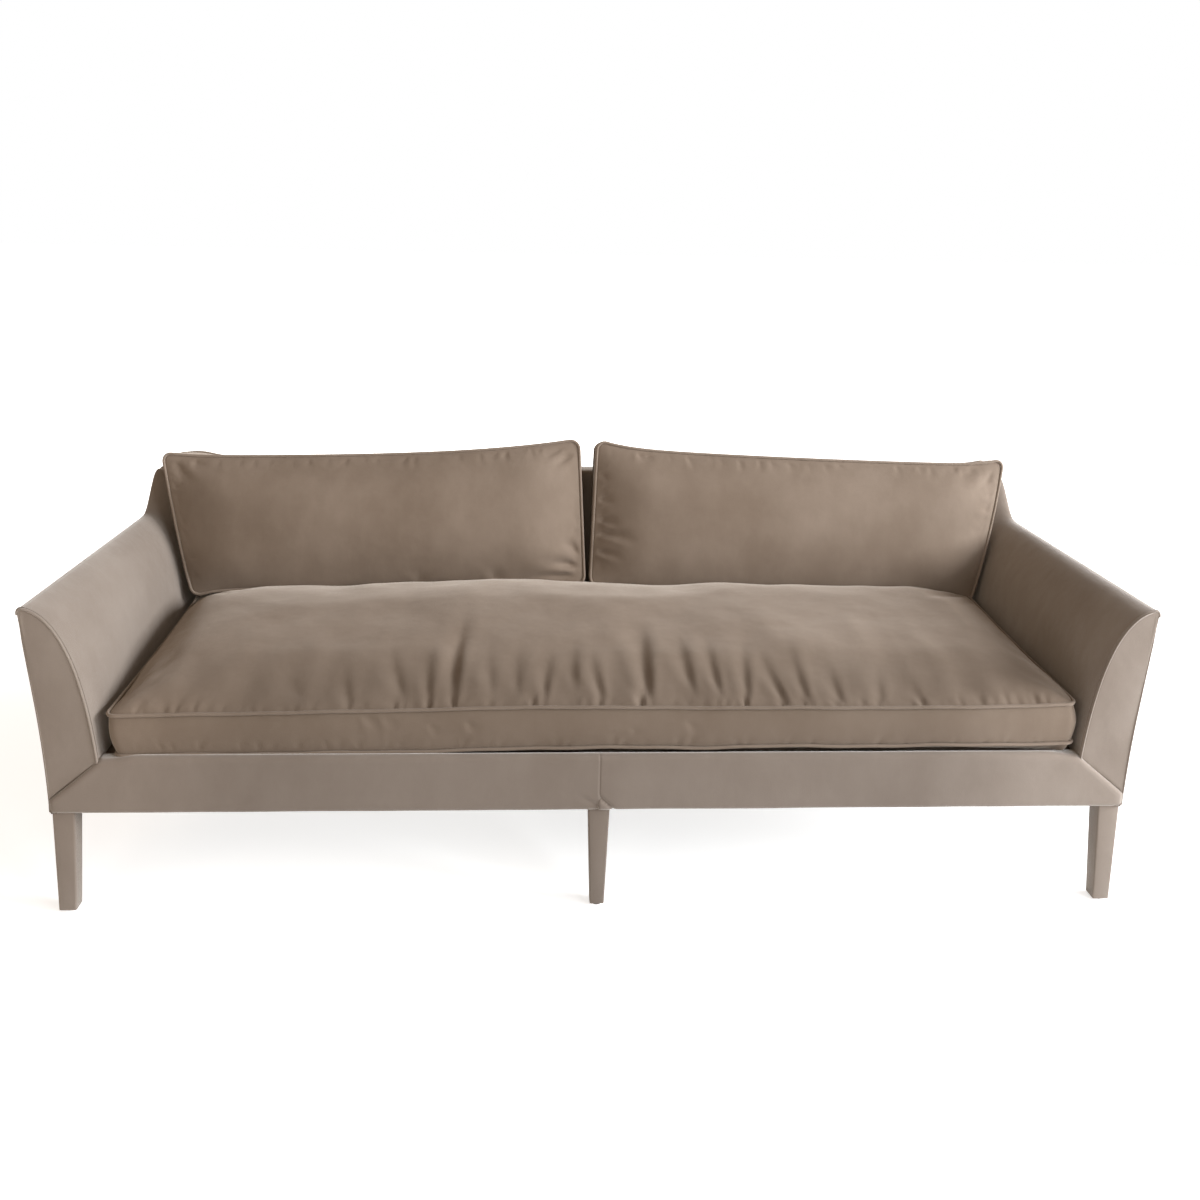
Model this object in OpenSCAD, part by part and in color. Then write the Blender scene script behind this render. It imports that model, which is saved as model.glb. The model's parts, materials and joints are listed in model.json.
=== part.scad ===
// Three-seat sofa with flared arms, one bench seat cushion and two back cushions.
// X runs along the sofa, Y from front to back, Z up. The origin is on the floor, under the middle.

/* [Base] */
// Width of the base over its side covers
base_w = 2140; // [1900:10:2400]
// Depth of the base at the underside of the rails
base_d = 830; // [800:5:860]
// Height of the underside of the rails above the floor
leg_h = 214; // [160:1:260]
// Height of the covered band under the seat cushion
band_h = 102; // [95:1:130]
// Thickness of the back at the seat deck, front to back
back_foot_t = 122; // [100:1:140]
// Height on the outer edge at which the mitre seam of the arm front ends
mitre_rise = 23; // [10:1:50]

/* [Arms] */
// Height of the arm top above the floor
arm_h = 624; // [590:1:660]
// Thickness of the arm at its foot
arm_t = 96; // [90:1:120]
// How far the tip of the arm stands out past the base
arm_flare = 48; // [30:1:70]
// How far the tip of the arm comes in towards the rear
arm_toe_in = 22; // [0:1:30]
// Radius of the rounded lip along the arm top
arm_lip_r = 11; // [9:0.5:16]
// Length over which the arm top sweeps up to the back
sweep_len = 100; // [70:5:180]

/* [Back] */
// Height of the back above the floor
back_h = 716; // [690:1:780]
// Lean of the inside back and of the back cushions, in degrees
back_lean = 13; // [10:0.5:15]
// Thickness of the back at its top, front to back
back_t = 75; // [65:1:100]
// Radius along the front top edge of the back
back_edge_r = 20; // [10:1:24]

/* [Covers and padding] */
// Thickness of the covered front panels
front_cover_t = 6; // [4:0.5:10]
// Thickness of the outside arm and outside back panels
panel_t = 5; // [3:0.5:8]
// Thickness of the padding on the inside arm
arm_pad_t = 14; // [10:1:18]
// Thickness of the padding over the arm lip
lip_pad_t = 7; // [4:0.5:8]
// Thickness of the padding on the inside back
back_pad_t = 25; // [15:1:35]
// Thickness of the padding over the top of the back
top_pad_t = 12; // [8:1:18]
// Thickness of the seat deck pad
deck_t = 14; // [8:1:20]
// Rise of the deck above the edge of the front band
deck_rise = 2; // [1:0.5:5]
// Depth of the flap that turns over the rear of the back
flap_h = 25; // [15:1:60]
// Thickness of the dust cover and of the leg plates
plate_t = 2; // [1:0.5:4]

/* [Frame] */
// Thickness of the base rails
rail_t = 28; // [24:1:36]
// Width of the centre stretcher
stretcher_w = 30; // [20:1:50]
// Width of each back post
post_w = 45; // [35:1:50]
// Height of the back rails
back_rail_h = 45; // [35:1:60]
// Height of the arm top rail
arm_rail_h = 48; // [40:1:60]
// Drop from the arm top to the top of the arm rail
arm_rail_drop = 21; // [20:1:30]
// Height of the tack strip at the foot of each arm
strip_h = 30; // [20:1:45]
// Depth of the tack strip at the foot of each arm
strip_w = 36; // [32:1:40]
// Length of a side of each corner block
block_l = 70; // [50:1:90]

/* [Springs and webbing] */
// Thickness of the seat spring wire
spring_d = 4; // [3:0.5:5]
// Spacing of the seat springs
spring_pitch = 122; // [110:1:125]
// Half of the width of a seat spring
spring_reach = 22; // [15:1:30]
// Number of bends in a seat spring
spring_bends = 30; // [20:2:36]
// Length of a spring clip
clip_l = 14; // [10:1:20]
// Width of a spring clip
clip_w = 18; // [12:1:30]
// Width of a back webbing strap
strap_w = 50; // [40:1:70]
// Thickness of a back webbing strap
strap_t = 2; // [1:0.5:3]
// Number of back webbing straps on each half of the back
strap_count = 6; // [4:1:7]

/* [Legs] */
// Width of a leg at its top, over its cover
leg_top_w = 43.4; // [38:0.2:60]
// Width of a leg at its foot, over its cover
leg_foot_w = 28; // [24:0.5:38]
// Set back of the leg from the side of the base
leg_side_set = 3.4; // [2:0.2:10]
// Set back of the leg from the front and the rear of the base
leg_face_set = 5; // [3:0.5:10]
// Thickness of the fabric round a leg
leg_cover_t = 1.5; // [1:0.1:2.5]
// Height of the glide under a leg
glide_h = 5; // [3:0.5:10]
// Diameter of the glide under a leg
glide_d = 20; // [14:1:24]
// Diameter of the nail that holds a glide
nail_d = 4; // [3:0.5:6]
// Length of the nail that holds a glide
nail_l = 16; // [10:1:25]
// Diameter of the bolt that holds a leg
bolt_d = 8; // [6:1:10]
// Length of the bolt inside the leg
bolt_in_leg = 55; // [40:1:80]
// Length of the bolt inside the rail
bolt_in_rail = 50; // [30:1:60]

/* [Seat cushion] */
// Gap between the seat cushion and the foot of each arm
seat_side_gap = 6; // [3:1:40]
// Set back of the seat cushion from the front of the base
seat_setback = 7; // [4:1:40]
// Gap between the seat cushion and the inside back
seat_back_gap = 6; // [3:1:12]
// Height of the seat boxing, between the centres of its welts
seat_boxing = 85; // [70:1:90]
// Height of the lower welt's centre above the deck
seat_foot_rise = 12; // [10:1:16]
// Rise of the upper welt from front to rear
seat_rear_rise = 23; // [15:1:26]
// Crown of the seat cushion
seat_crown = 46; // [20:1:50]
// How far the seat boxing swells out between its welts
seat_boxing_swell = 6; // [2:0.5:8]

/* [Back cushions] */
// Height of a back cushion along its lean, over its welts
back_cushion_h = 332; // [300:1:420]
// Thickness of a back cushion over its welts
back_cushion_t = 118; // [90:1:122]
// Crown on the front of a back cushion
back_crown = 34; // [10:1:45]
// Gap in width between a back cushion's outer foot and the foot of the arm
back_foot_clear = 4; // [2:1:60]
// Gap in width between a back cushion's outer top and the side of the base
back_top_clear = 18; // [12:1:100]
// Swell of a back cushion's outer side between its foot and its top
back_side_swell = 4; // [0:1:8]
// Droop of a back cushion's front foot at its outer corner
back_foot_droop = 24; // [10:1:26]
// Half of the gap between the back cushions at their feet
back_foot_gap = 4; // [2:0.5:20]
// Half of the gap between the back cushions at their tops
back_top_gap = 17; // [4:0.5:40]
// Height of the rear foot of the back cushions above the deck
back_foot_rise = 122; // [118:1:126]
// Fall of a back cushion's top from its middle to its outer end
back_top_fall = 14; // [0:1:25]
// Extra height of the ear at a back cushion's inner top corner
back_ear = 16; // [0:1:24]

/* [Cushion making] */
// Diameter of the welts
welt_d = 10; // [7:0.5:11]
// How far the boxing of a back cushion is drawn in between its welts
boxing_draw = 8; // [7.5:0.5:12]
// How far the sides of a cushion are drawn in between its corners
side_draw = 6; // [2:0.5:12]
// Thickness of a cushion cover
cover_t = 2; // [1:0.5:3]
// Length of the seat cushion's zip
seat_zip_l = 1500; // [600:10:1700]
// Length of a back cushion's zip
back_zip_l = 600; // [400:10:620]
// Height of the zip tape
tape_h = 24; // [16:1:28]
// Thickness of the zip tape
tape_t = 1; // [0.6:0.1:1.4]
// Height of the row of zip teeth
teeth_h = 6; // [4:0.5:8]
// Thickness of the row of zip teeth
teeth_t = 2; // [1.5:0.1:2.5]
// Length of a zip slider
slider_l = 14; // [10:0.5:18]
// Wall of a zip slider
slider_wall = 1.6; // [1:0.1:2]
// Length of a zip's pull tab
tab_l = 24; // [14:1:30]

/* [Clearances] */
// Clearance between covers, padding and wood
seam_gap = 0.5; // [0.2:0.1:0.8]
// Clearance between soft pieces that rest on each other
soft_gap = 0.3; // [0.2:0.1:0.8]
// Clearance round a bolt or a nail, on the radius
bolt_gap = 0.2; // [0.1:0.05:0.4]
// Clearance round the teeth inside a zip slider
zip_gap = 0.3; // [0.2:0.05:0.5]

/* [Hidden] */
$fn = 32;

velvet = "#9d8a7a";
velvet_light = "#b3a294";
lining = "#3c3a38";
hardwood = "#c8a06c";
steel = "#9aa0a6";
wadding = "#e9e4da";
webbing = "#4c453c";

// Heights and half widths that several pieces share
half_w = base_w / 2;
band_z = leg_h + band_h;
deck_z = band_z + deck_rise;
deck_d = base_d - back_foot_t;
rail_z0 = leg_h + plate_t;
rail_z1 = deck_z - deck_t - spring_d;
arm_in_x = half_w - arm_t;
seat_w = 2 * (arm_in_x - seat_side_gap);
back_foot_reach = arm_in_x - back_foot_clear;
back_top_reach = half_w - back_top_clear;
tuck = band_h / 10;
arm_foot_z = band_z - tuck;
overrun = plate_t;

// The leaning planes of the inside back and the outside back, as depth over height
function y_in(z) = deck_d + (z - deck_z) * tan(back_lean);
sofa_d = y_in(back_h) + back_t;
function y_out(z) = base_d + (z - leg_h) * (sofa_d - base_d) / (back_h - leg_h);
function post_face_y(z) = y_in(z) + back_pad_t + strap_t;
function post_rear_y(z) = y_out(z) - panel_t - seam_gap;
sweep_end = y_in(back_h);
sweep_start = sweep_end - sweep_len;

// Small maths
function mix(a, b, share) = a + (b - a) * share;
function part_of(a, b, v) = min(1, max(0, (v - a) / (b - a)));
function smooth(s) = s * s * (3 - 2 * s);
function bend(p, t) = (1 - t) * (1 - t) * p[0] + 2 * t * (1 - t) * p[1] + t * t * p[2];
function bend_t(p, v) =
    let (q = p[0] - 2 * p[1] + p[2], h = p[1] - p[0])
    (sqrt(h * h - q * (p[0] - v)) - h) / q;

// Section of an arm at depth y: an inner curve, a rounded lip and an outer curve
inner_pull_share = [0.26, 0.92];
outer_pull_share = [0.17, 0.415];
sweep_skew_share = 1.7;
function arm_top(y) =
    arm_h + (back_h - arm_h) * smooth(pow(part_of(sweep_start, sweep_end, y), sweep_skew_share));
function tip_x(y) = half_w + arm_flare - arm_toe_in * y / base_d;
function inner_xs(y) =
    let (x = tip_x(y) - arm_lip_r)
    [arm_in_x, mix(arm_in_x, x, inner_pull_share.x), x];
function inner_zs(y) =
    [arm_foot_z, mix(arm_foot_z, arm_top(y), inner_pull_share.y), arm_top(y)];
function outer_xs(y) = [half_w, mix(half_w, tip_x(y), outer_pull_share.x), tip_x(y)];
function outer_zs(y) =
    let (z = arm_top(y) - arm_lip_r)
    [leg_h, mix(leg_h, z, outer_pull_share.y), z];
function inner_x(y, z) = bend(inner_xs(y), bend_t(inner_zs(y), max(z, arm_foot_z)));
function outer_x(y, z) = bend(outer_xs(y), bend_t(outer_zs(y), max(z, leg_h)));
function lip_pt(y, a, r) = [tip_x(y) - arm_lip_r + r * sin(a), arm_top(y) - arm_lip_r + r * cos(a)];
arm_steps = 9;
lip_steps = 2;
lip_turn = 90;
function arm_skin(y, i, under) =
    i <= arm_steps
    ? let (t = i / arm_steps, a = lip_turn * t)
        [bend(inner_xs(y), t) + under * arm_pad_t * cos(a),
         bend(inner_zs(y), t) - under * lip_pad_t * sin(a)]
    : lip_pt(y, lip_turn * (i - arm_steps) / lip_steps, arm_lip_r - under * lip_pad_t);

// Stations along the arm: a few on the level run, more where the top sweeps up
level_steps = 3;
sweep_steps = 8;
rear_steps = 2;
function arm_y(j) =
    j <= level_steps ? mix(front_cover_t, sweep_start, j / level_steps)
    : j <= level_steps + sweep_steps
        ? mix(sweep_start, sweep_end, (j - level_steps) / sweep_steps)
        : mix(sweep_end, sofa_d, (j - level_steps - sweep_steps) / rear_steps);

// Legs and zips
leg_x = half_w - leg_side_set - leg_top_w / 2;
leg_front_y = leg_face_set + leg_top_w / 2;
leg_rear_y = base_d - leg_face_set - leg_top_w / 2;
LEG_PLACES = [for (x = [-leg_x, 0, leg_x], y = [leg_front_y, leg_rear_y]) [x, y]];
plate_w = leg_top_w - 4 * leg_cover_t;
clip_front_y = front_cover_t + rail_t / 4;
clip_rear_y = post_rear_y(rail_z0) - rail_t / 4;
post_x = half_w - panel_t - seam_gap;
back_rail_z1 = back_h - top_pad_t - seam_gap;
tack_rail_z0 = deck_z + top_pad_t;
arm_rail_z1 = arm_h - arm_rail_drop;
arm_rail_z0 = arm_rail_z1 - arm_rail_h;

// Cushions: every inset is measured from the outside of the welts
welt_r = welt_d / 2;
cover_inset = welt_d + soft_gap;
insert_inset = cover_t + soft_gap;
seat_nx = 20;
seat_ny = 10;
back_nx = 14;
back_ny = 8;
welt_sides = 6;
seat_foot_z = deck_z + seat_foot_rise;
seat_edge_z0 = seat_foot_z + seat_boxing;
seat_edge_z1 = seat_edge_z0 + seat_rear_rise;
back_z = deck_z + back_foot_rise;
back_y = y_in(back_z);
rest_y = back_y - back_cushion_t * cos(back_lean) - side_draw;
function rest_z(y) = back_z + (back_y - y) * tan(back_lean);
function spread(i, n) = sin(180 * i / (n - 1) - 90);
function round_end(s) = 1 - pow(abs(s), 6);

// Rows of the seat's grid: closer at the front and at the foot of the back cushions, two behind it
function seat_row(j) =
    let (front = seat_setback + cover_inset,
         rear = y_in(seat_edge_z1) - seat_back_gap - cover_inset,
         rest = 2 * part_of(front, rear, rest_y) - 1)
    j < seat_ny - 2
    ? mix(-1, rest, (spread(j, seat_ny - 2) + 1) / 2)
    : mix(rest, 1, (j - seat_ny + 3) / 2);

function seat_plan(u, v, e, rear_z) =
    let (w = (v + 1) / 2)
    [u * (seat_w / 2 - e - side_draw * (1 - v * v)),
     mix(seat_setback + e + side_draw * (1 - u * u), y_in(rear_z) - seat_back_gap - e, w)];
crown_fall_power = 8;
crown_peak_share = 0.76;
function seat_mid_z(y) =
    let (s = part_of(seat_setback + cover_inset, rest_y, y),
         swell = sqrt(s) * (1 - pow(s, crown_fall_power)) / crown_peak_share)
    y > rest_y ? rest_z(y) : mix(seat_edge_z0, rest_z(rest_y), s) + seat_crown * swell;
function seat_top(u, v, e, k) =
    let (p = seat_plan(u, v, e, seat_edge_z1), z = mix(seat_edge_z0, seat_edge_z1, (v + 1) / 2))
    [p.x, p.y, (abs(v) == 1 ? z : mix(z, seat_mid_z(p.y), round_end(u))) - k];
function seat_foot(u, v, e, k) =
    let (p = seat_plan(u, v, e, seat_foot_z))
    [p.x, p.y, (abs(u) == 1 || abs(v) == 1 ? seat_foot_z : deck_z + soft_gap) + k];

function lean_pt(x, s, n) =
    [x, back_y + s * sin(back_lean) - n * cos(back_lean),
     back_z + s * cos(back_lean) + n * sin(back_lean)];
side_lean = atan((back_top_reach - back_foot_reach) / back_cushion_h);
ear_power = 12;
droop_power = 20;
function back_top_s(x) =
    let (a = x / back_top_reach)
    back_cushion_h + back_top_fall * (1 - 2 * a) + back_ear * pow(1 - a, ear_power)
    - side_draw * 4 * a * (1 - a);
function back_plan(u, v, e) =
    let (w = (v + 1) / 2, a = (u + 1) / 2,
         s = mix(soft_gap + e, back_top_s(mix(back_top_gap + e, back_top_reach - e, a)) - e, w),
         q = s / back_cushion_h, arch = 4 * q * max(0, 1 - q))
    [mix(mix(back_foot_gap, back_top_gap, q) + e + side_draw / 2 * arch,
         mix(back_foot_reach, back_top_reach, q) - e / cos(side_lean) + back_side_swell * arch, a), s];
function back_front(u, v, e, k) =
    let (p = back_plan(u, v, e), bulge = (1 - pow(u, 4)) * (1 - pow(v, 4)),
         droop = back_foot_droop * (1 - v) / 2 * pow(p.x / back_foot_reach, droop_power))
    lean_pt(p.x, p.y - droop, back_cushion_t - welt_r + back_crown * bulge - k);
function back_rear(u, v, e, k) =
    let (p = back_plan(u, v, e), rim = abs(u) == 1 || abs(v) == 1)
    lean_pt(p.x, p.y, soft_gap + (rim ? welt_r : 0) + k);

// Index pairs round the rim of a grid, and the share of each index
function rim(nx, ny) = concat(
    [for (i = [0 : nx - 1]) [i, 0]], [for (j = [1 : ny - 1]) [nx - 1, j]],
    [for (i = [nx - 2 : -1 : 0]) [i, ny - 1]], [for (j = [ny - 2 : -1 : 1]) [0, j]]);

module placed() {
    translate([0, -sofa_d / 2, 0]) children();
}

// Draws a profile of depth and height, and runs it along the sofa from x0 to x1
module along_x(points, x0, x1) {
    translate([x0, 0, 0]) rotate([90, 0, 90]) linear_extrude(x1 - x0) polygon(points);
}

// Draws a front outline, and runs it back from y0 to y1
module along_y(points, y0, y1) {
    translate([0, y1, 0]) rotate([90, 0, 0]) linear_extrude(y1 - y0) polygon(points);
}

// A closed solid between two grids of points, with rings of points between their rims
module skin_solid(top, foot, nx, ny, rings = []) {
    loop = rim(nx, ny);
    n = len(loop);
    m = nx * ny;
    last = len(rings);
    function at(level, k) =
        let (q = loop[k % n])
        level == 0 ? q.y * nx + q.x
        : level == last + 1 ? m + q.y * nx + q.x
        : 2 * m + (level - 1) * n + k % n;
    faces = concat(
        [for (j = [0 : ny - 2], i = [0 : nx - 2])
            let (a = j * nx + i) each [[a, a + nx, a + nx + 1], [a, a + nx + 1, a + 1]]],
        [for (j = [0 : ny - 2], i = [0 : nx - 2])
            let (a = m + j * nx + i) each [[a, a + nx + 1, a + nx], [a, a + 1, a + nx + 1]]],
        [for (level = [0 : last], k = [0 : n - 1])
            each [[at(level, k), at(level, k + 1), at(level + 1, k + 1)],
                  [at(level, k), at(level + 1, k + 1), at(level + 1, k)]]]);
    polyhedron(points = concat(top, foot, [for (r = rings) each r]), faces = faces);
}

// A closed round cord along a ring of points, lying square to the direction up
module welt_ring(ring, up) {
    n = len(ring);
    m = welt_sides;
    points = [for (k = [0 : n - 1])
        let (run = ring[(k + 1) % n] - ring[(k + n - 1) % n],
             side = cross(run, up) / norm(cross(run, up)))
        for (i = [0 : m - 1])
            ring[k] + welt_r * (cos(360 * i / m) * side + sin(360 * i / m) * up)];
    faces = [for (k = [0 : n - 1], i = [0 : m - 1])
        let (a = k * m + i, b = k * m + (i + 1) % m,
             c = ((k + 1) % n) * m + (i + 1) % m, d = ((k + 1) % n) * m + i)
        each [[a, b, c], [a, c, d]]];
    polyhedron(points = points, faces = faces);
}

// Base rails, with a bore for each leg bolt
module rail_bar(y, leg_y) {
    difference() {
        translate([-post_x, y, rail_z0]) cube([2 * post_x, rail_t, rail_z1 - rail_z0]);
        for (x = [-leg_x, 0, leg_x])
            translate([x, leg_y, rail_z0 - overrun])
                cylinder(r = bolt_d / 2 + bolt_gap, h = bolt_in_rail + overrun);
    }
}

module front_rail() {
    color(hardwood) placed() rail_bar(front_cover_t, leg_front_y);
}

module rear_rail() {
    color(hardwood) placed() rail_bar(post_rear_y(rail_z0) - rail_t, leg_rear_y);
}

module right_side_rail() {
    y0 = front_cover_t + rail_t;
    color(hardwood) placed()
        translate([post_x - rail_t, y0, rail_z0])
            cube([rail_t, post_rear_y(rail_z0) - rail_t - y0, rail_z1 - rail_z0]);
}

module left_side_rail() {
    mirror([1, 0, 0]) right_side_rail();
}

module centre_stretcher() {
    y0 = front_cover_t + rail_t;
    color(hardwood) placed()
        translate([-stretcher_w / 2, y0, rail_z0])
            cube([stretcher_w, post_rear_y(rail_z0) - rail_t - y0, rail_z1 - rail_z0 - spring_d]);
}

module corner_blocks() {
    x = post_x - rail_t;
    y0 = front_cover_t + rail_t;
    y1 = post_rear_y(rail_z0) - rail_t;
    lift = (rail_z1 - rail_z0) / 8;
    color(hardwood) placed()
        for (s = [-1, 1]) {
            translate([0, 0, rail_z0 + lift]) linear_extrude(rail_z1 - rail_z0 - 2 * lift) {
                polygon([[s * x, y0], [s * x, y0 + block_l], [s * (x - block_l), y0]]);
                polygon([[s * x, y1], [s * x, y1 - block_l], [s * (x - block_l), y1]]);
            }
        }
}

// Arms: a shaped post at the front, a top rail and a tack strip
module right_arm_post() {
    y0 = front_cover_t;
    y1 = y0 + rail_t;
    zs = [for (i = [0 : 6]) mix(rail_z1, arm_rail_z0, i / 6)];
    inside = [for (z = zs) [inner_x(y0, z) + arm_pad_t + seam_gap, z]];
    outside = [for (i = [6 : -1 : 0]) [outer_x(y1, zs[i]) - panel_t - seam_gap, zs[i]]];
    color(hardwood) placed() along_y(concat(inside, outside), y0, y1);
}

module left_arm_post() {
    mirror([1, 0, 0]) right_arm_post();
}

module right_arm_rail() {
    function station(j, z) = [front_cover_t, sweep_start, post_face_y(z)][j];
    function outer_at(j, z) = outer_x([0, sweep_start, sweep_end][j], z) - panel_t - 2 * seam_gap;
    zs = [arm_rail_z0, arm_rail_z1];
    color(hardwood) placed() skin_solid(
        [for (j = [0 : 2], z = zs)
            [inner_x(min(station(j, z), sweep_start), z) + arm_pad_t + seam_gap, station(j, z), z]],
        [for (j = [0 : 2], z = zs) [outer_at(j, z), station(j, z), z]], 2, 3);
}

module left_arm_rail() {
    mirror([1, 0, 0]) right_arm_rail();
}

module right_arm_tack_strip() {
    z0 = deck_z;
    z1 = z0 + strip_h;
    y0 = front_cover_t + rail_t;
    x = inner_x(y0, z1) + arm_pad_t + seam_gap;
    color(hardwood) placed()
        along_x([[y0, z0], [post_face_y(z0), z0], [post_face_y(z1), z1], [y0, z1]], x, x + strip_w);
}

module left_arm_tack_strip() {
    mirror([1, 0, 0]) right_arm_tack_strip();
}

// Back: three raked posts between a tack rail and a top rail
module right_back_post() {
    color(hardwood) placed() along_x(
        [[post_face_y(rail_z1), rail_z1], [post_rear_y(rail_z1), rail_z1],
         [post_rear_y(back_rail_z1), back_rail_z1], [post_face_y(back_rail_z1), back_rail_z1]],
        post_x - post_w, post_x);
}

module left_back_post() {
    mirror([1, 0, 0]) right_back_post();
}

module raked_bar(z0, z1, x0, x1) {
    along_x([[post_face_y(z0), z0], [post_face_y(z0) + rail_t, z0],
             [post_face_y(z1) + rail_t, z1], [post_face_y(z1), z1]], x0, x1);
}

module centre_back_post() {
    color(hardwood) placed()
        raked_bar(tack_rail_z0 + back_rail_h, back_rail_z1 - back_rail_h, -post_w / 2, post_w / 2);
}

module back_top_rail() {
    x = post_x - post_w;
    color(hardwood) placed() raked_bar(back_rail_z1 - back_rail_h, back_rail_z1, -x, x);
}

module back_tack_rail() {
    x = post_x - post_w;
    color(hardwood) placed() raked_bar(tack_rail_z0, tack_rail_z0 + back_rail_h, -x, x);
}

// Zigzag springs from rail to rail, held in clips
module for_each_spring() {
    for (s = [-1, 1], i = [0 : 7]) translate([s * spring_pitch * (i + 0.5), 0, rail_z1]) children();
}

module seat_springs() {
    y0 = clip_front_y + clip_l;
    y1 = clip_rear_y - clip_l;
    step = (y1 - y0) / spring_bends;
    half = spring_d / 2 * norm([2 * spring_reach, step]) / step;
    side = [for (i = [0 : spring_bends]) i % 2 == 0 ? -spring_reach : spring_reach];
    near = [for (i = [0 : spring_bends]) [side[i] - half, y0 + step * i]];
    far = [for (i = [spring_bends : -1 : 0]) [side[i] + half, y0 + step * i]];
    color(steel) placed() for_each_spring() linear_extrude(spring_d) polygon(concat(near, far));
}

module spring_clips() {
    color(steel) placed() for_each_spring()
        for (y = [clip_front_y, clip_rear_y - clip_l])
            translate([-spring_reach - clip_w / 2, y, 0]) cube([clip_w, clip_l, spring_d]);
}

module back_webbing() {
    z0 = tack_rail_z0;
    z1 = back_rail_z1;
    gap = (post_x - post_w) / (strap_count + 0.5);
    color(webbing) placed()
        for (s = [-1, 1], i = [1 : strap_count])
            along_x([[post_face_y(z0) - strap_t, z0], [post_face_y(z0), z0],
                     [post_face_y(z1), z1], [post_face_y(z1) - strap_t, z1]],
                s * gap * (i - 0.25) - strap_w / 2, s * gap * (i - 0.25) + strap_w / 2);
}

module seat_deck() {
    x = arm_in_x - seam_gap;
    y1 = y_in(deck_z - deck_t) - seam_gap;
    color(wadding) placed()
        translate([-x, front_cover_t, deck_z - deck_t]) cube([2 * x, y1 - front_cover_t, deck_t]);
}

// Padded inside arm with its rolled lip
module right_inside_arm() {
    nx = arm_steps + lip_steps + 1;
    ny = level_steps + sweep_steps + 1;
    function skin_at(i, j, under) =
        let (y = arm_y(j), p = arm_skin(y, i, under), w = part_of(sweep_start, sweep_end, y))
        [p.x, y - w * (sweep_end - y_in(p.y) + seam_gap), p.y];
    color(velvet) placed() skin_solid(
        [for (j = [0 : ny - 1], i = [0 : nx - 1]) skin_at(i, j, 0)],
        [for (j = [0 : ny - 1], i = [0 : nx - 1]) skin_at(i, j, 1)], nx, ny);
}

module left_inside_arm() {
    mirror([1, 0, 0]) right_inside_arm();
}

// Covered panel on the outside of the arm, back to the outside back
module right_outside_arm() {
    nx = level_steps + sweep_steps + rear_steps + 1;
    ny = arm_steps;
    function panel_at(i, j, under) =
        let (y = arm_y(i), t = j / (ny - 1), z = bend(outer_zs(y), t),
             w = part_of(sweep_start, sofa_d, y))
        [bend(outer_xs(y), t) - under * panel_t, y - w * (sofa_d - y_out(z)), z];
    color(velvet) placed() skin_solid(
        [for (j = [0 : ny - 1], i = [0 : nx - 1]) panel_at(i, j, 0)],
        [for (j = [0 : ny - 1], i = [0 : nx - 1]) panel_at(i, j, 1)], nx, ny);
}

module left_outside_arm() {
    mirror([1, 0, 0]) right_outside_arm();
}

// Right half of the front, outlined by the arm's section, and the mitre that splits it
module front_outline() {
    outer = [for (i = [0 : arm_steps]) let (t = i / arm_steps) [bend(outer_xs(0), t), bend(outer_zs(0), t)]];
    lip = [for (i = [2 : -1 : 1]) lip_pt(0, lip_turn * i / 3, arm_lip_r)];
    inner = [for (i = [arm_steps : -1 : 1])
        let (t = i / arm_steps) [bend(inner_xs(0), t), bend(inner_zs(0), t)]];
    polygon(concat([[0, leg_h]], outer, lip, inner, [[arm_in_x, band_z], [0, band_z]]));
}

module above_mitre() {
    far_x = half_w + arm_flare + overrun;
    polygon([[arm_in_x - arm_t, band_z], [arm_in_x, band_z], [half_w + overrun, leg_h + mitre_rise],
             [far_x, leg_h + mitre_rise], [far_x, arm_h + overrun], [arm_in_x - arm_t, arm_h + overrun]]);
}

module right_arm_facing() {
    color(velvet) placed()
        translate([0, front_cover_t, 0]) rotate([90, 0, 0]) linear_extrude(front_cover_t)
            intersection() {
                front_outline();
                above_mitre();
            }
}

module left_arm_facing() {
    mirror([1, 0, 0]) right_arm_facing();
}

module right_front_border() {
    color(velvet_light) placed()
        translate([0, front_cover_t, 0]) rotate([90, 0, 0]) linear_extrude(front_cover_t)
            difference() {
                front_outline();
                above_mitre();
            }
}

module left_front_border() {
    mirror([1, 0, 0]) right_front_border();
}

// Inside back: a padded face that turns over the top rail and ends in a rear flap
module inside_back() {
    z0 = arm_foot_z;
    zl = back_h - arm_lip_r;
    z_flap = back_h - flap_h;
    arc = [for (i = [0 : 4])
        let (a = (90 - back_lean) * i / 4 + 90 + back_lean,
             c = [y_in(back_h) + back_edge_r, back_h - back_edge_r])
        [c.x - back_edge_r * sin(a), c.y - back_edge_r * cos(a)]];
    profile = concat(
        [[y_in(z0), z0], [y_in(back_h - 2 * back_edge_r), back_h - 2 * back_edge_r]], arc,
        [[sofa_d, back_h], [y_out(z_flap), z_flap], [y_out(z_flap) - panel_t, z_flap],
         [y_out(back_h - top_pad_t) - panel_t, back_h - top_pad_t],
         [y_in(back_h - top_pad_t) + back_pad_t, back_h - top_pad_t],
         [y_in(z0) + back_pad_t, z0]]);
    side = [for (i = [0 : 8]) let (z = mix(z0, arm_h, i / 8)) [inner_x(sweep_end, z) + arm_pad_t, z]];
    edge = concat(side,
        [[outer_x(sofa_d, arm_h) - panel_t - seam_gap, arm_h],
         [outer_x(sofa_d, zl) - panel_t - seam_gap, zl], [tip_x(sofa_d), zl], [tip_x(sofa_d), back_h]]);
    mirrored = [for (i = [len(edge) - 1 : -1 : 0]) [-edge[i].x, edge[i].y]];
    color(velvet) placed() intersection() {
        along_x(profile, -half_w - arm_flare, half_w + arm_flare);
        along_y(concat(edge, mirrored), 0, sofa_d + overrun);
    }
}

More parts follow.
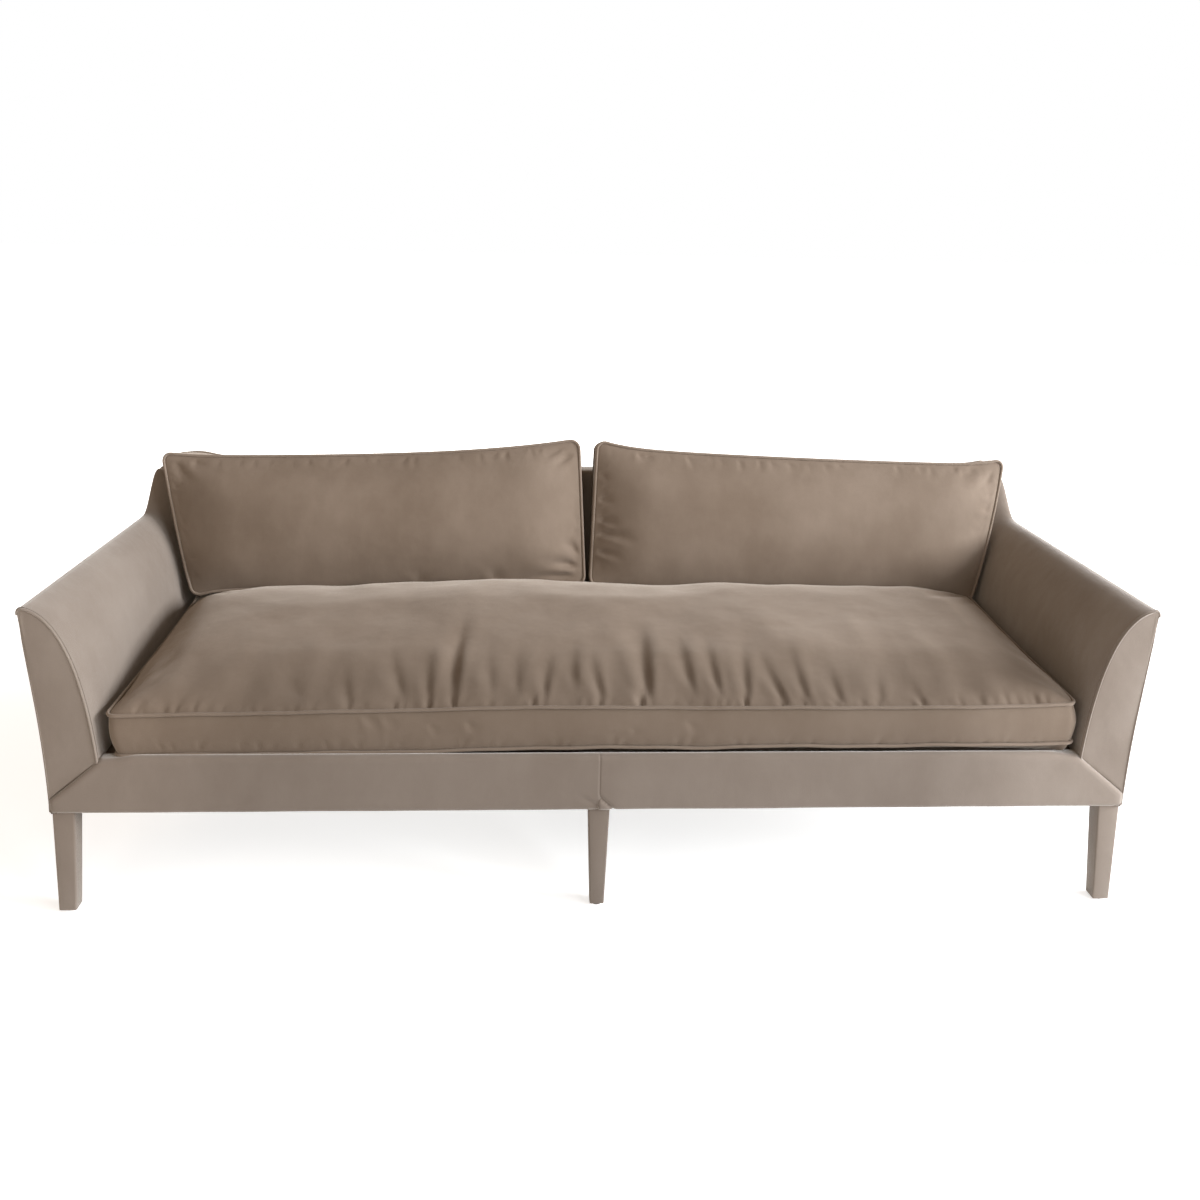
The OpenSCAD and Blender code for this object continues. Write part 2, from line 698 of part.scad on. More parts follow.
module outside_back() {
    z1 = back_h - flap_h;
    edge = [for (i = [0 : 6]) let (z = mix(leg_h, z1, i / 6))
        [outer_x(sofa_d, z) - panel_t - seam_gap, z]];
    mirrored = [for (i = [6 : -1 : 0]) [-edge[i].x, edge[i].y]];
    color(velvet) placed() intersection() {
        along_x([[y_out(leg_h) - panel_t, leg_h], [y_out(leg_h), leg_h],
                 [y_out(z1), z1], [y_out(z1) - panel_t, z1]], -half_w - arm_flare, half_w + arm_flare);
        along_y(concat(edge, mirrored), 0, sofa_d + overrun);
    }
}

module dust_cover() {
    x = post_x - leg_side_set;
    y0 = front_cover_t + leg_side_set;
    y1 = post_rear_y(leg_h) - leg_side_set;
    color(lining) placed() difference() {
        translate([-x, y0, leg_h]) cube([2 * x, y1 - y0, plate_t]);
        for (p = LEG_PLACES)
            translate([p.x - leg_top_w / 2, p.y - leg_top_w / 2, leg_h - overrun])
                cube([leg_top_w, leg_top_w, plate_t + 2 * overrun]);
    }
}

// A square leg that tapers alike on all four sides, made smaller all round by the inset
module leg_taper(inset) {
    top = leg_top_w / 2 - inset;
    foot = leg_foot_w / 2 - inset;
    outline = [[-foot, glide_h], [foot, glide_h], [top, leg_h], [-top, leg_h]];
    intersection() {
        along_x(outline, -leg_top_w, leg_top_w);
        along_y(outline, -leg_top_w, leg_top_w);
    }
}

module leg_core(x, y) {
    color(hardwood) placed() translate([x, y, 0]) difference() {
        leg_taper(leg_cover_t);
        translate([0, 0, leg_h - bolt_in_leg - bolt_gap])
            cylinder(r = bolt_d / 2 + bolt_gap, h = bolt_in_leg + bolt_gap + overrun);
        translate([0, 0, glide_h - overrun])
            cylinder(r = nail_d / 2 + bolt_gap, h = nail_l + bolt_gap + overrun);
    }
}

module leg_sleeve(x, y) {
    color(velvet_light) placed() translate([x, y, 0]) difference() {
        leg_taper(0);
        leg_taper(leg_cover_t);
    }
}

module front_left_leg() {
    leg_core(-leg_x, leg_front_y);
}

module front_centre_leg() {
    leg_core(0, leg_front_y);
}

module front_right_leg() {
    leg_core(leg_x, leg_front_y);
}

module rear_left_leg() {
    leg_core(-leg_x, leg_rear_y);
}

module rear_centre_leg() {
    leg_core(0, leg_rear_y);
}

module rear_right_leg() {
    leg_core(leg_x, leg_rear_y);
}

module front_left_leg_cover() {
    leg_sleeve(-leg_x, leg_front_y);
}

module front_centre_leg_cover() {
    leg_sleeve(0, leg_front_y);
}

module front_right_leg_cover() {
    leg_sleeve(leg_x, leg_front_y);
}

module rear_leg_covers() {
    for (x = [-leg_x, 0, leg_x]) leg_sleeve(x, leg_rear_y);
}

module leg_plates() {
    color(steel) placed() for (p = LEG_PLACES) translate([p.x, p.y, leg_h]) difference() {
        translate([-plate_w / 2, -plate_w / 2, 0]) cube([plate_w, plate_w, plate_t]);
        translate([0, 0, -overrun]) cylinder(r = bolt_d / 2 + bolt_gap, h = plate_t + 2 * overrun);
    }
}

module leg_bolts() {
    color(steel) placed() for (p = LEG_PLACES)
        translate([p.x, p.y, leg_h - bolt_in_leg])
            cylinder(r = bolt_d / 2, h = bolt_in_leg + plate_t + bolt_in_rail - bolt_gap);
}

module leg_glides() {
    color(lining) placed() for (p = LEG_PLACES) translate([p.x, p.y, 0]) {
        cylinder(r = glide_d / 2, h = glide_h);
        cylinder(r = nail_d / 2, h = glide_h + nail_l);
    }
}

// Grids of the seat cushion and of the right back cushion, made smaller by k
function seat_grid(k, foot) = [for (j = [0 : seat_ny - 1], i = [0 : seat_nx - 1])
    let (u = spread(i, seat_nx), v = seat_row(j))
    foot ? seat_foot(u, v, cover_inset + k, k) : seat_top(u, v, cover_inset + k, k)];
function seat_ring(e, foot, k) = [for (q = rim(seat_nx, seat_ny))
    let (u = spread(q.x, seat_nx), v = seat_row(q.y))
    foot ? seat_foot(u, v, e, k) : seat_top(u, v, e, k)];
function back_grid(k, rear) = [for (j = [0 : back_ny - 1], i = [0 : back_nx - 1])
    let (u = spread(i, back_nx), v = spread(j, back_ny))
    rear ? back_rear(u, v, cover_inset + k, k) : back_front(u, v, cover_inset + k, k)];
function back_ring(e, rear, k) = [for (q = rim(back_nx, back_ny))
    let (u = spread(q.x, back_nx), v = spread(q.y, back_ny))
    rear ? back_rear(u, v, e, k) : back_front(u, v, e, k)];

module seat_form(k) {
    e = cover_inset - seat_boxing_swell + k;
    skin_solid(seat_grid(k, false), seat_grid(k, true), seat_nx, seat_ny,
        [(seat_ring(e, false, 0) + seat_ring(e, true, 0)) / 2]);
}

module back_form(k) {
    e = cover_inset + boxing_draw + k;
    skin_solid(back_grid(k, false), back_grid(k, true), back_nx, back_ny,
        [(back_ring(e, false, 0) + back_ring(e, true, 0)) / 2]);
}

module seat_cushion_cover() {
    color(velvet) placed() difference() {
        seat_form(0);
        seat_form(cover_t);
    }
}

module seat_cushion_insert() {
    color(wadding) placed() seat_form(insert_inset);
}

module seat_cushion_welts() {
    color(velvet_light) placed() {
        welt_ring(seat_ring(welt_r, false, 0), [0, 0, 1]);
        welt_ring(seat_ring(welt_r, true, 0), [0, 0, 1]);
    }
}

module right_cushion_cover() {
    color(velvet) placed() difference() {
        back_form(0);
        back_form(cover_t);
    }
}

module right_cushion_insert() {
    color(wadding) placed() back_form(insert_inset);
}

module right_cushion_welts() {
    forward = [0, -cos(back_lean), sin(back_lean)];
    color(velvet_light) placed() {
        welt_ring(back_ring(welt_r, false, 0), forward);
        welt_ring(back_ring(welt_r, true, 0), forward);
    }
}

module left_cushion_cover() {
    mirror([1, 0, 0]) right_cushion_cover();
}

module left_cushion_insert() {
    mirror([1, 0, 0]) right_cushion_insert();
}

module left_cushion_welts() {
    mirror([1, 0, 0]) right_cushion_welts();
}

// Zips: the tape lies along the middle of the boxing, with Y pointing out of the cushion
teeth_y = tape_t;
slider_y = teeth_y + zip_gap;
slider_top = teeth_y + teeth_t + zip_gap + slider_wall;
slider_h = teeth_h + 2 * (zip_gap + slider_wall);

module zip_strip(length) {
    translate([-length / 2, 0, -tape_h / 2]) cube([length, tape_t, tape_h]);
    translate([-length / 2, teeth_y, -teeth_h / 2]) cube([length, teeth_t, teeth_h]);
}

module zip_slider(length) {
    groove = teeth_h + 2 * zip_gap;
    translate([-length / 2 + tab_l, 0, 0]) {
        difference() {
            translate([-slider_l / 2, slider_y, -slider_h / 2])
                cube([slider_l, slider_top - slider_y, slider_h]);
            translate([-slider_l, slider_y - zip_gap, -groove / 2])
                cube([2 * slider_l, teeth_t + 2 * zip_gap, groove]);
        }
        translate([-tab_l, slider_top - slider_wall, -teeth_h / 2])
            cube([tab_l - slider_l / 2, slider_wall, teeth_h]);
    }
}

module seat_zip_place() {
    e = cover_inset - seat_boxing_swell;
    a = seat_top(0, 1, e, 0);
    b = seat_foot(0, 1, e, 0);
    translate((a + b) / 2) rotate([-back_lean, 0, 0]) children();
}

module back_zip_place() {
    e = cover_inset + boxing_draw;
    a = back_front(0, -1, e, 0);
    b = back_rear(0, -1, e, 0);
    valley = boxing_draw * tape_h / back_cushion_t + soft_gap;
    translate((a + b) / 2) rotate([-90 - back_lean, 0, 0]) translate([0, valley, 0]) children();
}

module seat_cushion_zip() {
    color(lining) placed() seat_zip_place() zip_strip(seat_zip_l);
}

module seat_zip_slider() {
    color(steel) placed() seat_zip_place() zip_slider(seat_zip_l);
}

module right_cushion_zip() {
    color(lining) placed() back_zip_place() zip_strip(back_zip_l);
}

module right_zip_slider() {
    color(steel) placed() back_zip_place() zip_slider(back_zip_l);
}

module left_cushion_zip() {
    mirror([1, 0, 0]) right_cushion_zip();
}

module left_zip_slider() {
    mirror([1, 0, 0]) right_zip_slider();
}

front_rail();
rear_rail();
left_side_rail();
right_side_rail();
centre_stretcher();
corner_blocks();
left_arm_post();
right_arm_post();
left_arm_rail();
right_arm_rail();
left_arm_tack_strip();
right_arm_tack_strip();
left_back_post();
right_back_post();
centre_back_post();
back_top_rail();
back_tack_rail();
seat_springs();
spring_clips();
back_webbing();
seat_deck();
left_inside_arm();
right_inside_arm();
left_outside_arm();
right_outside_arm();
left_arm_facing();
right_arm_facing();
left_front_border();
right_front_border();
inside_back();
outside_back();
dust_cover();
front_left_leg();
front_centre_leg();
front_right_leg();
rear_left_leg();
rear_centre_leg();
rear_right_leg();
front_left_leg_cover();
front_centre_leg_cover();
front_right_leg_cover();
rear_leg_covers();
leg_plates();
leg_bolts();
leg_glides();
seat_cushion_cover();
seat_cushion_insert();
seat_cushion_welts();
seat_cushion_zip();
seat_zip_slider();
left_cushion_cover();
left_cushion_insert();
left_cushion_welts();
left_cushion_zip();
left_zip_slider();
right_cushion_cover();
right_cushion_insert();
right_cushion_welts();
right_cushion_zip();
right_zip_slider();
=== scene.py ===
import json
import math
import bpy
import bmesh
import numpy as np
from mathutils import Matrix, Vector, noise


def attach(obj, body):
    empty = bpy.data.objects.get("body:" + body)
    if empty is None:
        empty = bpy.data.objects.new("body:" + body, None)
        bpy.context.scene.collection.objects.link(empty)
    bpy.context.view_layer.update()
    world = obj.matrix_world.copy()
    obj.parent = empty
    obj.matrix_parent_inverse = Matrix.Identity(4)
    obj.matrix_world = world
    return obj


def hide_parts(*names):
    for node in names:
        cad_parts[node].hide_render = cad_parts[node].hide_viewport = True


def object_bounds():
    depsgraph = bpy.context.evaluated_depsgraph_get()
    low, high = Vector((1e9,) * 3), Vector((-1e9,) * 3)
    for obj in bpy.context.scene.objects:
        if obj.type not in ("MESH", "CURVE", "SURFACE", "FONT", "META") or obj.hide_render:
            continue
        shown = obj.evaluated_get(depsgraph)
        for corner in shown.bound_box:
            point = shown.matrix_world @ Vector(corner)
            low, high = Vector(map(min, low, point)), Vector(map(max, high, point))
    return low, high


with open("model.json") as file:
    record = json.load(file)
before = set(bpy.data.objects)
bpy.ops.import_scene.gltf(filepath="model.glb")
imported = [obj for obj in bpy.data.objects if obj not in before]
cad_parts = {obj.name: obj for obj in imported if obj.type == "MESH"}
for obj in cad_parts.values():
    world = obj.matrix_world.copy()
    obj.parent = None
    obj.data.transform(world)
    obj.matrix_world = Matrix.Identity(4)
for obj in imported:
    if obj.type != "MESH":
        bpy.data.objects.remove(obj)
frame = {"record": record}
cad_low, cad_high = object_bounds()

# Sizes of the sofa in metres. Depths run back from the front plane, heights up from the floor.
front_y = cad_low[1]
half_w = 1.070
base_d = 0.830
leg_h = 0.214
band_z = 0.316
deck_z = 0.318
deck_d = 0.708
mitre_rise = 0.023
arm_h = 0.624
arm_in_x = 0.974
arm_flare = 0.048
arm_toe_in = 0.022
lip_r = 0.011
sweep_len = 0.100
back_h = 0.716
back_t = 0.075
back_edge_r = 0.020
lean = math.radians(13)
flap_h = 0.025
arm_foot_z = band_z - 0.0102
leg_half = 0.0217
leg_x = half_w - 0.0034 - leg_half
leg_y = 0.0267

# Sizes of the cushions
welt_r = 0.0036
welt_in = 0.005
cover_in = 0.0066
side_draw = 0.006
seat_half = 0.968
seat_setback = 0.007
seat_back_gap = 0.006
seat_foot_z = 0.330
seat_front_z = 0.415
seat_rear_z = 0.438
seat_crown = 0.046
seat_half_d = 0.38
back_t_cushion = 0.118
back_cushion_h = 0.332
back_half = 0.52
back_half_h = back_cushion_h / 2
back_crown = 0.042
back_foot_reach = 0.970
back_foot_droop = 0.024
back_z = 0.440

SIDE = {-1: "left", 1: "right"}


def y_in(z):
    return deck_d + (z - deck_z) * math.tan(lean)


sofa_d = y_in(back_h) + back_t
sweep_end = y_in(back_h)
sweep_start = sweep_end - sweep_len
back_y = y_in(back_z)


def y_out(z):
    return base_d + (z - leg_h) * (sofa_d - base_d) / (back_h - leg_h)


def mix(a, b, share):
    return a + (b - a) * share


def part_of(a, b, value):
    return np.clip((value - a) / (b - a), 0, 1)


def smooth(share):
    return share * share * (3 - 2 * share)


def rising(a, b, value):
    """0 up to a and 1 from b on, with a soft start and end."""
    return smooth(part_of(a, b, value))


def bend(points, t):
    return (1 - t) ** 2 * points[0] + 2 * t * (1 - t) * points[1] + t * t * points[2]


# Shader maths

class Value:
    """A socket of a look, on which sums can be written."""

    def __init__(self, look, socket):
        self.look, self.socket = look, socket

    def maths(self, operation, first, second):
        return self.look.node("ShaderNodeMath", {"operation": operation}, {0: first, 1: second})

    def __add__(self, other):
        return self.maths("ADD", self, other)

    def __radd__(self, other):
        return self.maths("ADD", other, self)

    def __sub__(self, other):
        return self.maths("SUBTRACT", self, other)

    def __rsub__(self, other):
        return self.maths("SUBTRACT", other, self)

    def __mul__(self, other):
        return self.maths("MULTIPLY", self, other)

    def __rmul__(self, other):
        return self.maths("MULTIPLY", other, self)


class Look:
    """A material under construction."""

    def __init__(self, name):
        self.material = bpy.data.materials.new(name)
        self.material.use_nodes = True
        self.tree = self.material.node_tree
        self.tree.nodes.clear()
        self.place = self.node("ShaderNodeTexCoord", {}, {}, "Object")

    def node(self, kind, settings, sockets, out=0):
        made = self.tree.nodes.new(kind)
        for key, setting in settings.items():
            setattr(made, key, setting)
        for key, value in sockets.items():
            if isinstance(value, Value):
                self.tree.links.new(value.socket, made.inputs[key])
            else:
                made.inputs[key].default_value = value
        return Value(self, made.outputs[out])

    def noise(self, size, detail=2.0, roughness=0.5, place=None):
        return self.node("ShaderNodeTexNoise", {}, {
            "Vector": place or self.place, "Scale": 1 / size, "Detail": detail,
            "Roughness": roughness}, "Fac")

    def stretched(self, scale):
        return self.node("ShaderNodeMapping", {}, {"Vector": self.place, "Scale": scale})

    def along(self, axis):
        return self.node("ShaderNodeSeparateXYZ", {}, {"Vector": self.place}, axis)

    def ramp(self, value, low, high):
        return self.node("ShaderNodeMapRange", {"interpolation_type": "SMOOTHSTEP"},
                         {"Value": value, "From Min": low, "From Max": high}, "Result")

    def blend(self, share, first, second):
        return self.node("ShaderNodeMix", {"data_type": "RGBA"},
                         {0: share, 6: (*first, 1) if isinstance(first, tuple) else first,
                          7: (*second, 1) if isinstance(second, tuple) else second}, 2)

    def bump(self, height, depth, normal=None):
        sockets = {"Height": height, "Distance": depth, "Strength": 1.0}
        if normal:
            sockets["Normal"] = normal
        return self.node("ShaderNodeBump", {}, sockets)

    def shade(self, sockets):
        surface = self.node("ShaderNodeBsdfPrincipled", {}, sockets)
        out = self.tree.nodes.new("ShaderNodeOutputMaterial")
        self.tree.links.new(surface.socket, out.inputs["Surface"])
        return self.material


def velvet(name, shade, light, sheen=0.8, tint=(0.98, 0.94, 0.90)):
    """Cotton velvet: a short pile with soft patches, and painted shade darkening the middle of the front."""
    nap_size, brush_size, pile_size, fur_size, ripple_size = 0.30, 0.06, 0.0016, 0.0011, 0.045
    painted_shade_from, painted_shade_to = (-0.22, 0.98), (-0.38, 0.62)
    look = Look(name)
    nap = look.ramp(look.noise(nap_size, 3.0), 0.36, 0.66)
    brushed = look.ramp(look.noise(brush_size, 3.0, 0.6, look.stretched((1.0, 1.0, 0.55))), 0.35, 0.7)
    pile = look.noise(pile_size, 2.0, 0.7)
    share = nap * 0.36 + brushed * 0.16 + pile * 0.30 + 0.09
    # Painted shade: across the middle of the front of the sofa, the colour is blended towards a darker tone
    side = look.node("ShaderNodeMath", {"operation": "ABSOLUTE"}, {0: look.along("X")})
    painted_shade = (look.ramp(look.along("Y"), painted_shade_from[0], painted_shade_to[0])
              * look.ramp(side, painted_shade_from[1], painted_shade_to[1]))
    wear_and_painted_shade = tuple(0.6 * part for part in shade)
    colour = look.blend(painted_shade * 0.52, look.blend(share, shade, light), wear_and_painted_shade)
    ripple = look.bump(look.noise(ripple_size, 2.0), 0.0012)
    fur = look.bump(look.noise(fur_size, 2.0, 0.6), 0.00035, ripple)
    return look.shade({"Base Color": colour, "Roughness": 0.9, "Specular IOR Level": 0.15,
                       "Sheen Weight": sheen, "Sheen Roughness": 0.45, "Sheen Tint": (*tint, 1),
                       "Normal": fur})


def plain_cloth(name, dark, light, thread):
    """A plain woven cloth."""
    look = Look(name)
    across, along = [look.node("ShaderNodeTexWave", {"bands_direction": axis}, {
        "Vector": look.place, "Scale": 1 / thread, "Distortion": 0.6}, "Fac") for axis in "XY"]
    weave = across * along
    share = weave * 0.5 + look.noise(0.02, 3.0) * 0.5
    return look.shade({"Base Color": look.blend(share, dark, light), "Roughness": 0.92,
                       "Specular IOR Level": 0.2, "Normal": look.bump(weave, 0.0003)})


def wood(name):
    """Sawn hardwood with its grain along the piece."""
    look = Look(name)
    stretched = look.stretched((0.6, 6.0, 6.0))
    grain = look.noise(0.05, 5.0, 0.65, stretched)
    pores = look.noise(0.004, 2.0, 0.6, stretched)
    share = look.ramp(grain, 0.3, 0.7) * 0.75 + pores * 0.25
    colour = look.blend(share, (0.42, 0.25, 0.12), (0.62, 0.43, 0.24))
    return look.shade({"Base Color": colour, "Roughness": 0.62, "Normal": look.bump(share, 0.0004)})


def metal(name, colour, wear_and_painted_shade):
    """Zinc-plated steel with a dull, lightly scuffed skin."""
    look = Look(name)
    scuff = look.noise(0.006, 4.0, 0.6)
    return look.shade({"Base Color": look.blend(scuff, colour, wear_and_painted_shade), "Metallic": 1.0,
                       "Roughness": 0.28 + scuff * 0.25, "Normal": look.bump(scuff, 0.0001)})


def moulded(name, dark, light):
    """Moulded plastic with a fine matt grain."""
    look = Look(name)
    grain = look.noise(0.0015, 2.0)
    return look.shade({"Base Color": look.blend(grain, dark, light), "Roughness": 0.55,
                       "Normal": look.bump(grain, 0.0001)})


velvet_body = velvet("velvet_body", (0.190, 0.151, 0.122), (0.294, 0.249, 0.213))
# Painted shade: the outside arms get a darker copy of the velvet, with less sheen, against the strong window
# lamp
velvet_outer_painted_shade = velvet("velvet_outer_painted_shade", (0.170, 0.135, 0.109), (0.262, 0.221, 0.189), 0.35)
velvet_cushion = velvet("velvet_cushion", (0.158, 0.117, 0.086), (0.262, 0.208, 0.165), 0.40,
                        (1.0, 0.89, 0.78))
velvet_welt = velvet("velvet_welt", (0.190, 0.146, 0.112), (0.285, 0.230, 0.187), 0.3, (1.0, 0.90, 0.80))
cambric = plain_cloth("cambric", (0.020, 0.020, 0.021), (0.050, 0.049, 0.048), 0.0012)
ticking = plain_cloth("ticking", (0.60, 0.57, 0.51), (0.80, 0.77, 0.71), 0.0008)
decking = plain_cloth("decking", (0.145, 0.108, 0.080), (0.235, 0.182, 0.142), 0.0012)
zip_cloth = plain_cloth("zip_cloth", (0.13, 0.10, 0.08), (0.22, 0.17, 0.13), 0.0009)
strap_cloth = plain_cloth("strap_cloth", (0.05, 0.04, 0.032), (0.12, 0.10, 0.08), 0.0022)
hardwood = wood("hardwood")
steel = metal("steel", (0.52, 0.53, 0.54), (0.66, 0.66, 0.65))
zip_metal = metal("zip_metal", (0.40, 0.36, 0.28), (0.56, 0.50, 0.40))
glide_plastic = moulded("glide_plastic", (0.035, 0.034, 0.033), (0.06, 0.058, 0.055))


# Helpers

def new_piece(name, points, faces):
    mesh = bpy.data.meshes.new(name)
    mesh.from_pydata([tuple(p) for p in points], [], faces)
    piece = bpy.data.objects.new(name, mesh)
    bpy.context.scene.collection.objects.link(piece)
    return piece


def select_only(piece):
    bpy.ops.object.select_all(action="DESELECT")
    piece.select_set(True)
    bpy.context.view_layer.objects.active = piece


def apply_modifier(piece, kind, **settings):
    modifier = piece.modifiers.new(kind.lower(), kind)
    for key, value in settings.items():
        setattr(modifier, key, value)
    select_only(piece)
    bpy.ops.object.modifier_apply(modifier=modifier.name)


def face_outwards(piece, merge=True, inner_side=None):
    """Turns every face outwards, or away from a point on the inner side of a sheet."""
    shell = bmesh.new()
    shell.from_mesh(piece.data)
    if merge:
        bmesh.ops.remove_doubles(shell, verts=shell.verts, dist=0.00002)
    bmesh.ops.recalc_face_normals(shell, faces=shell.faces)
    if inner_side:
        widest = max(shell.faces, key=lambda face: face.calc_area())
        if widest.normal.dot(Vector(inner_side) - widest.calc_center_median()) > 0:
            bmesh.ops.reverse_faces(shell, faces=shell.faces)
    shell.to_mesh(piece.data)
    shell.free()


def dress(piece, look, body, node):
    """Gives a piece its material and its body, and hides the node that it stands for."""
    piece.data.materials.clear()
    piece.data.materials.append(look)
    for face in piece.data.polygons:
        face.use_smooth = True
    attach(piece, body)
    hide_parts(node)


def padded_cover(name, place, across, along, thick, inner_side, node, look=velvet_body):
    """A padded cover, laid out by place(a, b) over two lists and thickened towards a point inside."""
    points = [place(a, b) for b in along for a in across]
    wide = len(across)
    faces = [(k, k + 1, k + wide + 1, k + wide)
             for j in range(len(along) - 1) for k in range(j * wide, (j + 1) * wide - 1)]
    piece = new_piece(name, points, faces)
    face_outwards(piece, inner_side=inner_side)
    apply_modifier(piece, "SOLIDIFY", thickness=thick, offset=-1.0)
    dress(piece, look, "frame", node)


def shares(count, first=0.0, last=1.0):
    return [mix(first, last, k / count) for k in range(count + 1)]


def quarter(steps):
    """Angles that step through a quarter turn, without its start."""
    return [math.radians(90 * i / steps) for i in range(1, steps + 1)]


def ease(x, y, z, size, amount):
    """A slow unevenness, as padding has under its cover."""
    return amount * noise.noise(Vector((x / size, y / size, z / size)))


def roll(distance, radius):
    """How far a rounded edge has dropped at a distance from its boundary."""
    gone = 1 - min(1.0, max(0.0, distance) / radius)
    return radius * (1 - math.sqrt(1 - gone * gone))


# Arms: their section is an inner curve, a rounded lip and an outer curve

def arm_top(y):
    rise = part_of(sweep_start - 0.045, sweep_end, y) ** 1.9
    return arm_h + (back_h - arm_h) * smooth(rise)


def tip_x(y):
    return half_w + arm_flare - arm_toe_in * y / base_d


def inner_point(y, t):
    x, top = tip_x(y) - lip_r, arm_top(y)
    return (bend((arm_in_x, mix(arm_in_x, x, 0.26), x), t),
            bend((arm_foot_z, mix(arm_foot_z, top, 0.92), top), t))


def outer_point(y, t):
    x, z = tip_x(y), arm_top(y) - lip_r
    return (bend((half_w, mix(half_w, x, 0.17), x), t),
            bend((leg_h, mix(leg_h, z, 0.415), z), t))


def lip_point(y, angle, radius=lip_r):
    return (tip_x(y) - lip_r + radius * math.sin(angle), arm_top(y) - lip_r + radius * math.cos(angle))


def curve_x(point, y, z):
    """How far out the inner or outer curve of the section stands at a height."""
    low, high = 0.0, 1.0
    for _ in range(24):
        middle = (low + high) / 2
        if point(y, middle)[1] < z:
            low = middle
        else:
            high = middle
    return point(y, low)[0]


def section_point(y, k):
    """k runs from 0 at the foot of the inner curve to 1 at the top, and to 2 round the lip."""
    return inner_point(y, k) if k <= 1 else lip_point(y, (k - 1) * math.radians(105))


def off_section(y, k, off, point=section_point):
    """A point of the section, moved off it to the left of its run."""
    x, z = point(y, k)
    step = 0.002
    x0, z0 = point(y, max(0.0, k - step))
    x1, z1 = point(y, k + step) if k + step <= 2 else (x, z)
    dx, dz = x1 - x0, z1 - z0
    size = math.hypot(dx, dz)
    return x - off * dz / size, z + off * dx / size


# The turned-in front edge of the inside arm: depth from the front, and drop below the surface
edge_r = 0.0026
edge_rows = [(0.0060, -0.0080), (0.0012, -edge_r)] + [
    (edge_r * (1 - math.cos(a)) + 0.0003, edge_r * (math.sin(a) - 1)) for a in quarter(6)]


def inside_arm(side):
    """The padded inside of an arm, carried up over the rolled lip to its outer seam."""
    padding, unevenly, over_lip = 0.0025, 0.0022, 0.0013
    level = [(y, 0.0) for y in shares(44, 0.012, sweep_start)]
    climbing = [(y, 0.0) for y in shares(26, sweep_start, sweep_end)][1:]
    tucked = [(sweep_end + 0.005, -0.0004), (sweep_end + 0.010, -0.0010), (sweep_end + 0.016, -0.0020)]

    def place(k, row):
        y, drop = row
        full = math.sin(math.pi * k) ** 0.6 * (1 - math.exp(-y / 0.05)) if k < 1 else 0.0
        x, z = off_section(y, k, drop)
        off = padding * full + ease(x * side, y, z, 0.16, unevenly) * (1 - math.exp(-y / 0.03))
        if k > 1:
            off = mix(off, over_lip, smooth(min(1.0, (k - 1) / 0.4)))
        x, z = off_section(y, k, drop + off)
        swept = part_of(sweep_start, sweep_end, y) * (sweep_end - y_in(min(z, back_h)) + 0.0005)
        return side * x, front_y + y - swept, z

    padded_cover(f"{SIDE[side]}_inside_arm_cover", place, shares(44) + shares(12, 1.0, 2.0)[1:],
                 edge_rows + level + climbing + tucked, 0.006, (side * 1.2, 0, 0.2),
                 f"{SIDE[side]}_inside_arm")


def mitre_distance(x, z):
    """How far a point of the front lies above the mitre line."""
    run = Vector((half_w - arm_in_x, leg_h + mitre_rise - band_z))
    off = Vector((x - arm_in_x, z - band_z))
    return (run.x * off.y - run.y * off.x) / run.length


def arm_facing(side):
    """The flat front of an arm, with its edges turned back into the seams."""
    gap, set_back, rounding, full = 0.0006, 0.0022, 0.003, 0.0018
    lip_share, lip_angles = 0.9, (90, 50)

    def inner_or_lip(y, q):
        return inner_point(y, q) if q <= 1 else lip_point(y, math.radians(45 * (q - 1)))

    def place(q, k):
        xi, zi = off_section(0.0, 1.9 * k, -0.0021, inner_or_lip)
        if k < lip_share:
            zo = mix(leg_h + mitre_rise, arm_h - lip_r, k / lip_share)
            xo = curve_x(outer_point, 0.0, zo) - gap
        else:
            angle = math.radians(mix(*lip_angles, (k - lip_share) / (1 - lip_share)))
            xo, zo = lip_point(0.0, angle, lip_r - gap)
        x, z = mix(xo, xi, q), mix(zo, zi, q)
        wide = math.hypot(xi - xo, zi - zo)
        drop = max(roll(q * wide, rounding), roll((1 - q) * wide, edge_r),
                   roll(mitre_distance(x, z) + 0.0003, edge_r))
        dome = full * min(1, wide / 0.06) * math.sin(math.pi * q) * smooth(min(1, k * 6))
        wave = ease(side * x, 0, z, 0.11, 0.0010) * (1 if drop == 0 else 0.3)
        return side * x, front_y + set_back + drop - dome + wave, z

    across = [(1 - math.cos(math.pi * i / 26)) / 2 for i in range(27)]
    heights = [smooth(k) * 0.35 + k * 0.65 for k in shares(60)]
    padded_cover(f"{SIDE[side]}_arm_facing_cover", place, across, heights, 0.0035,
                 (side * 1.0, 1.0, 0.4), f"{SIDE[side]}_arm_facing")


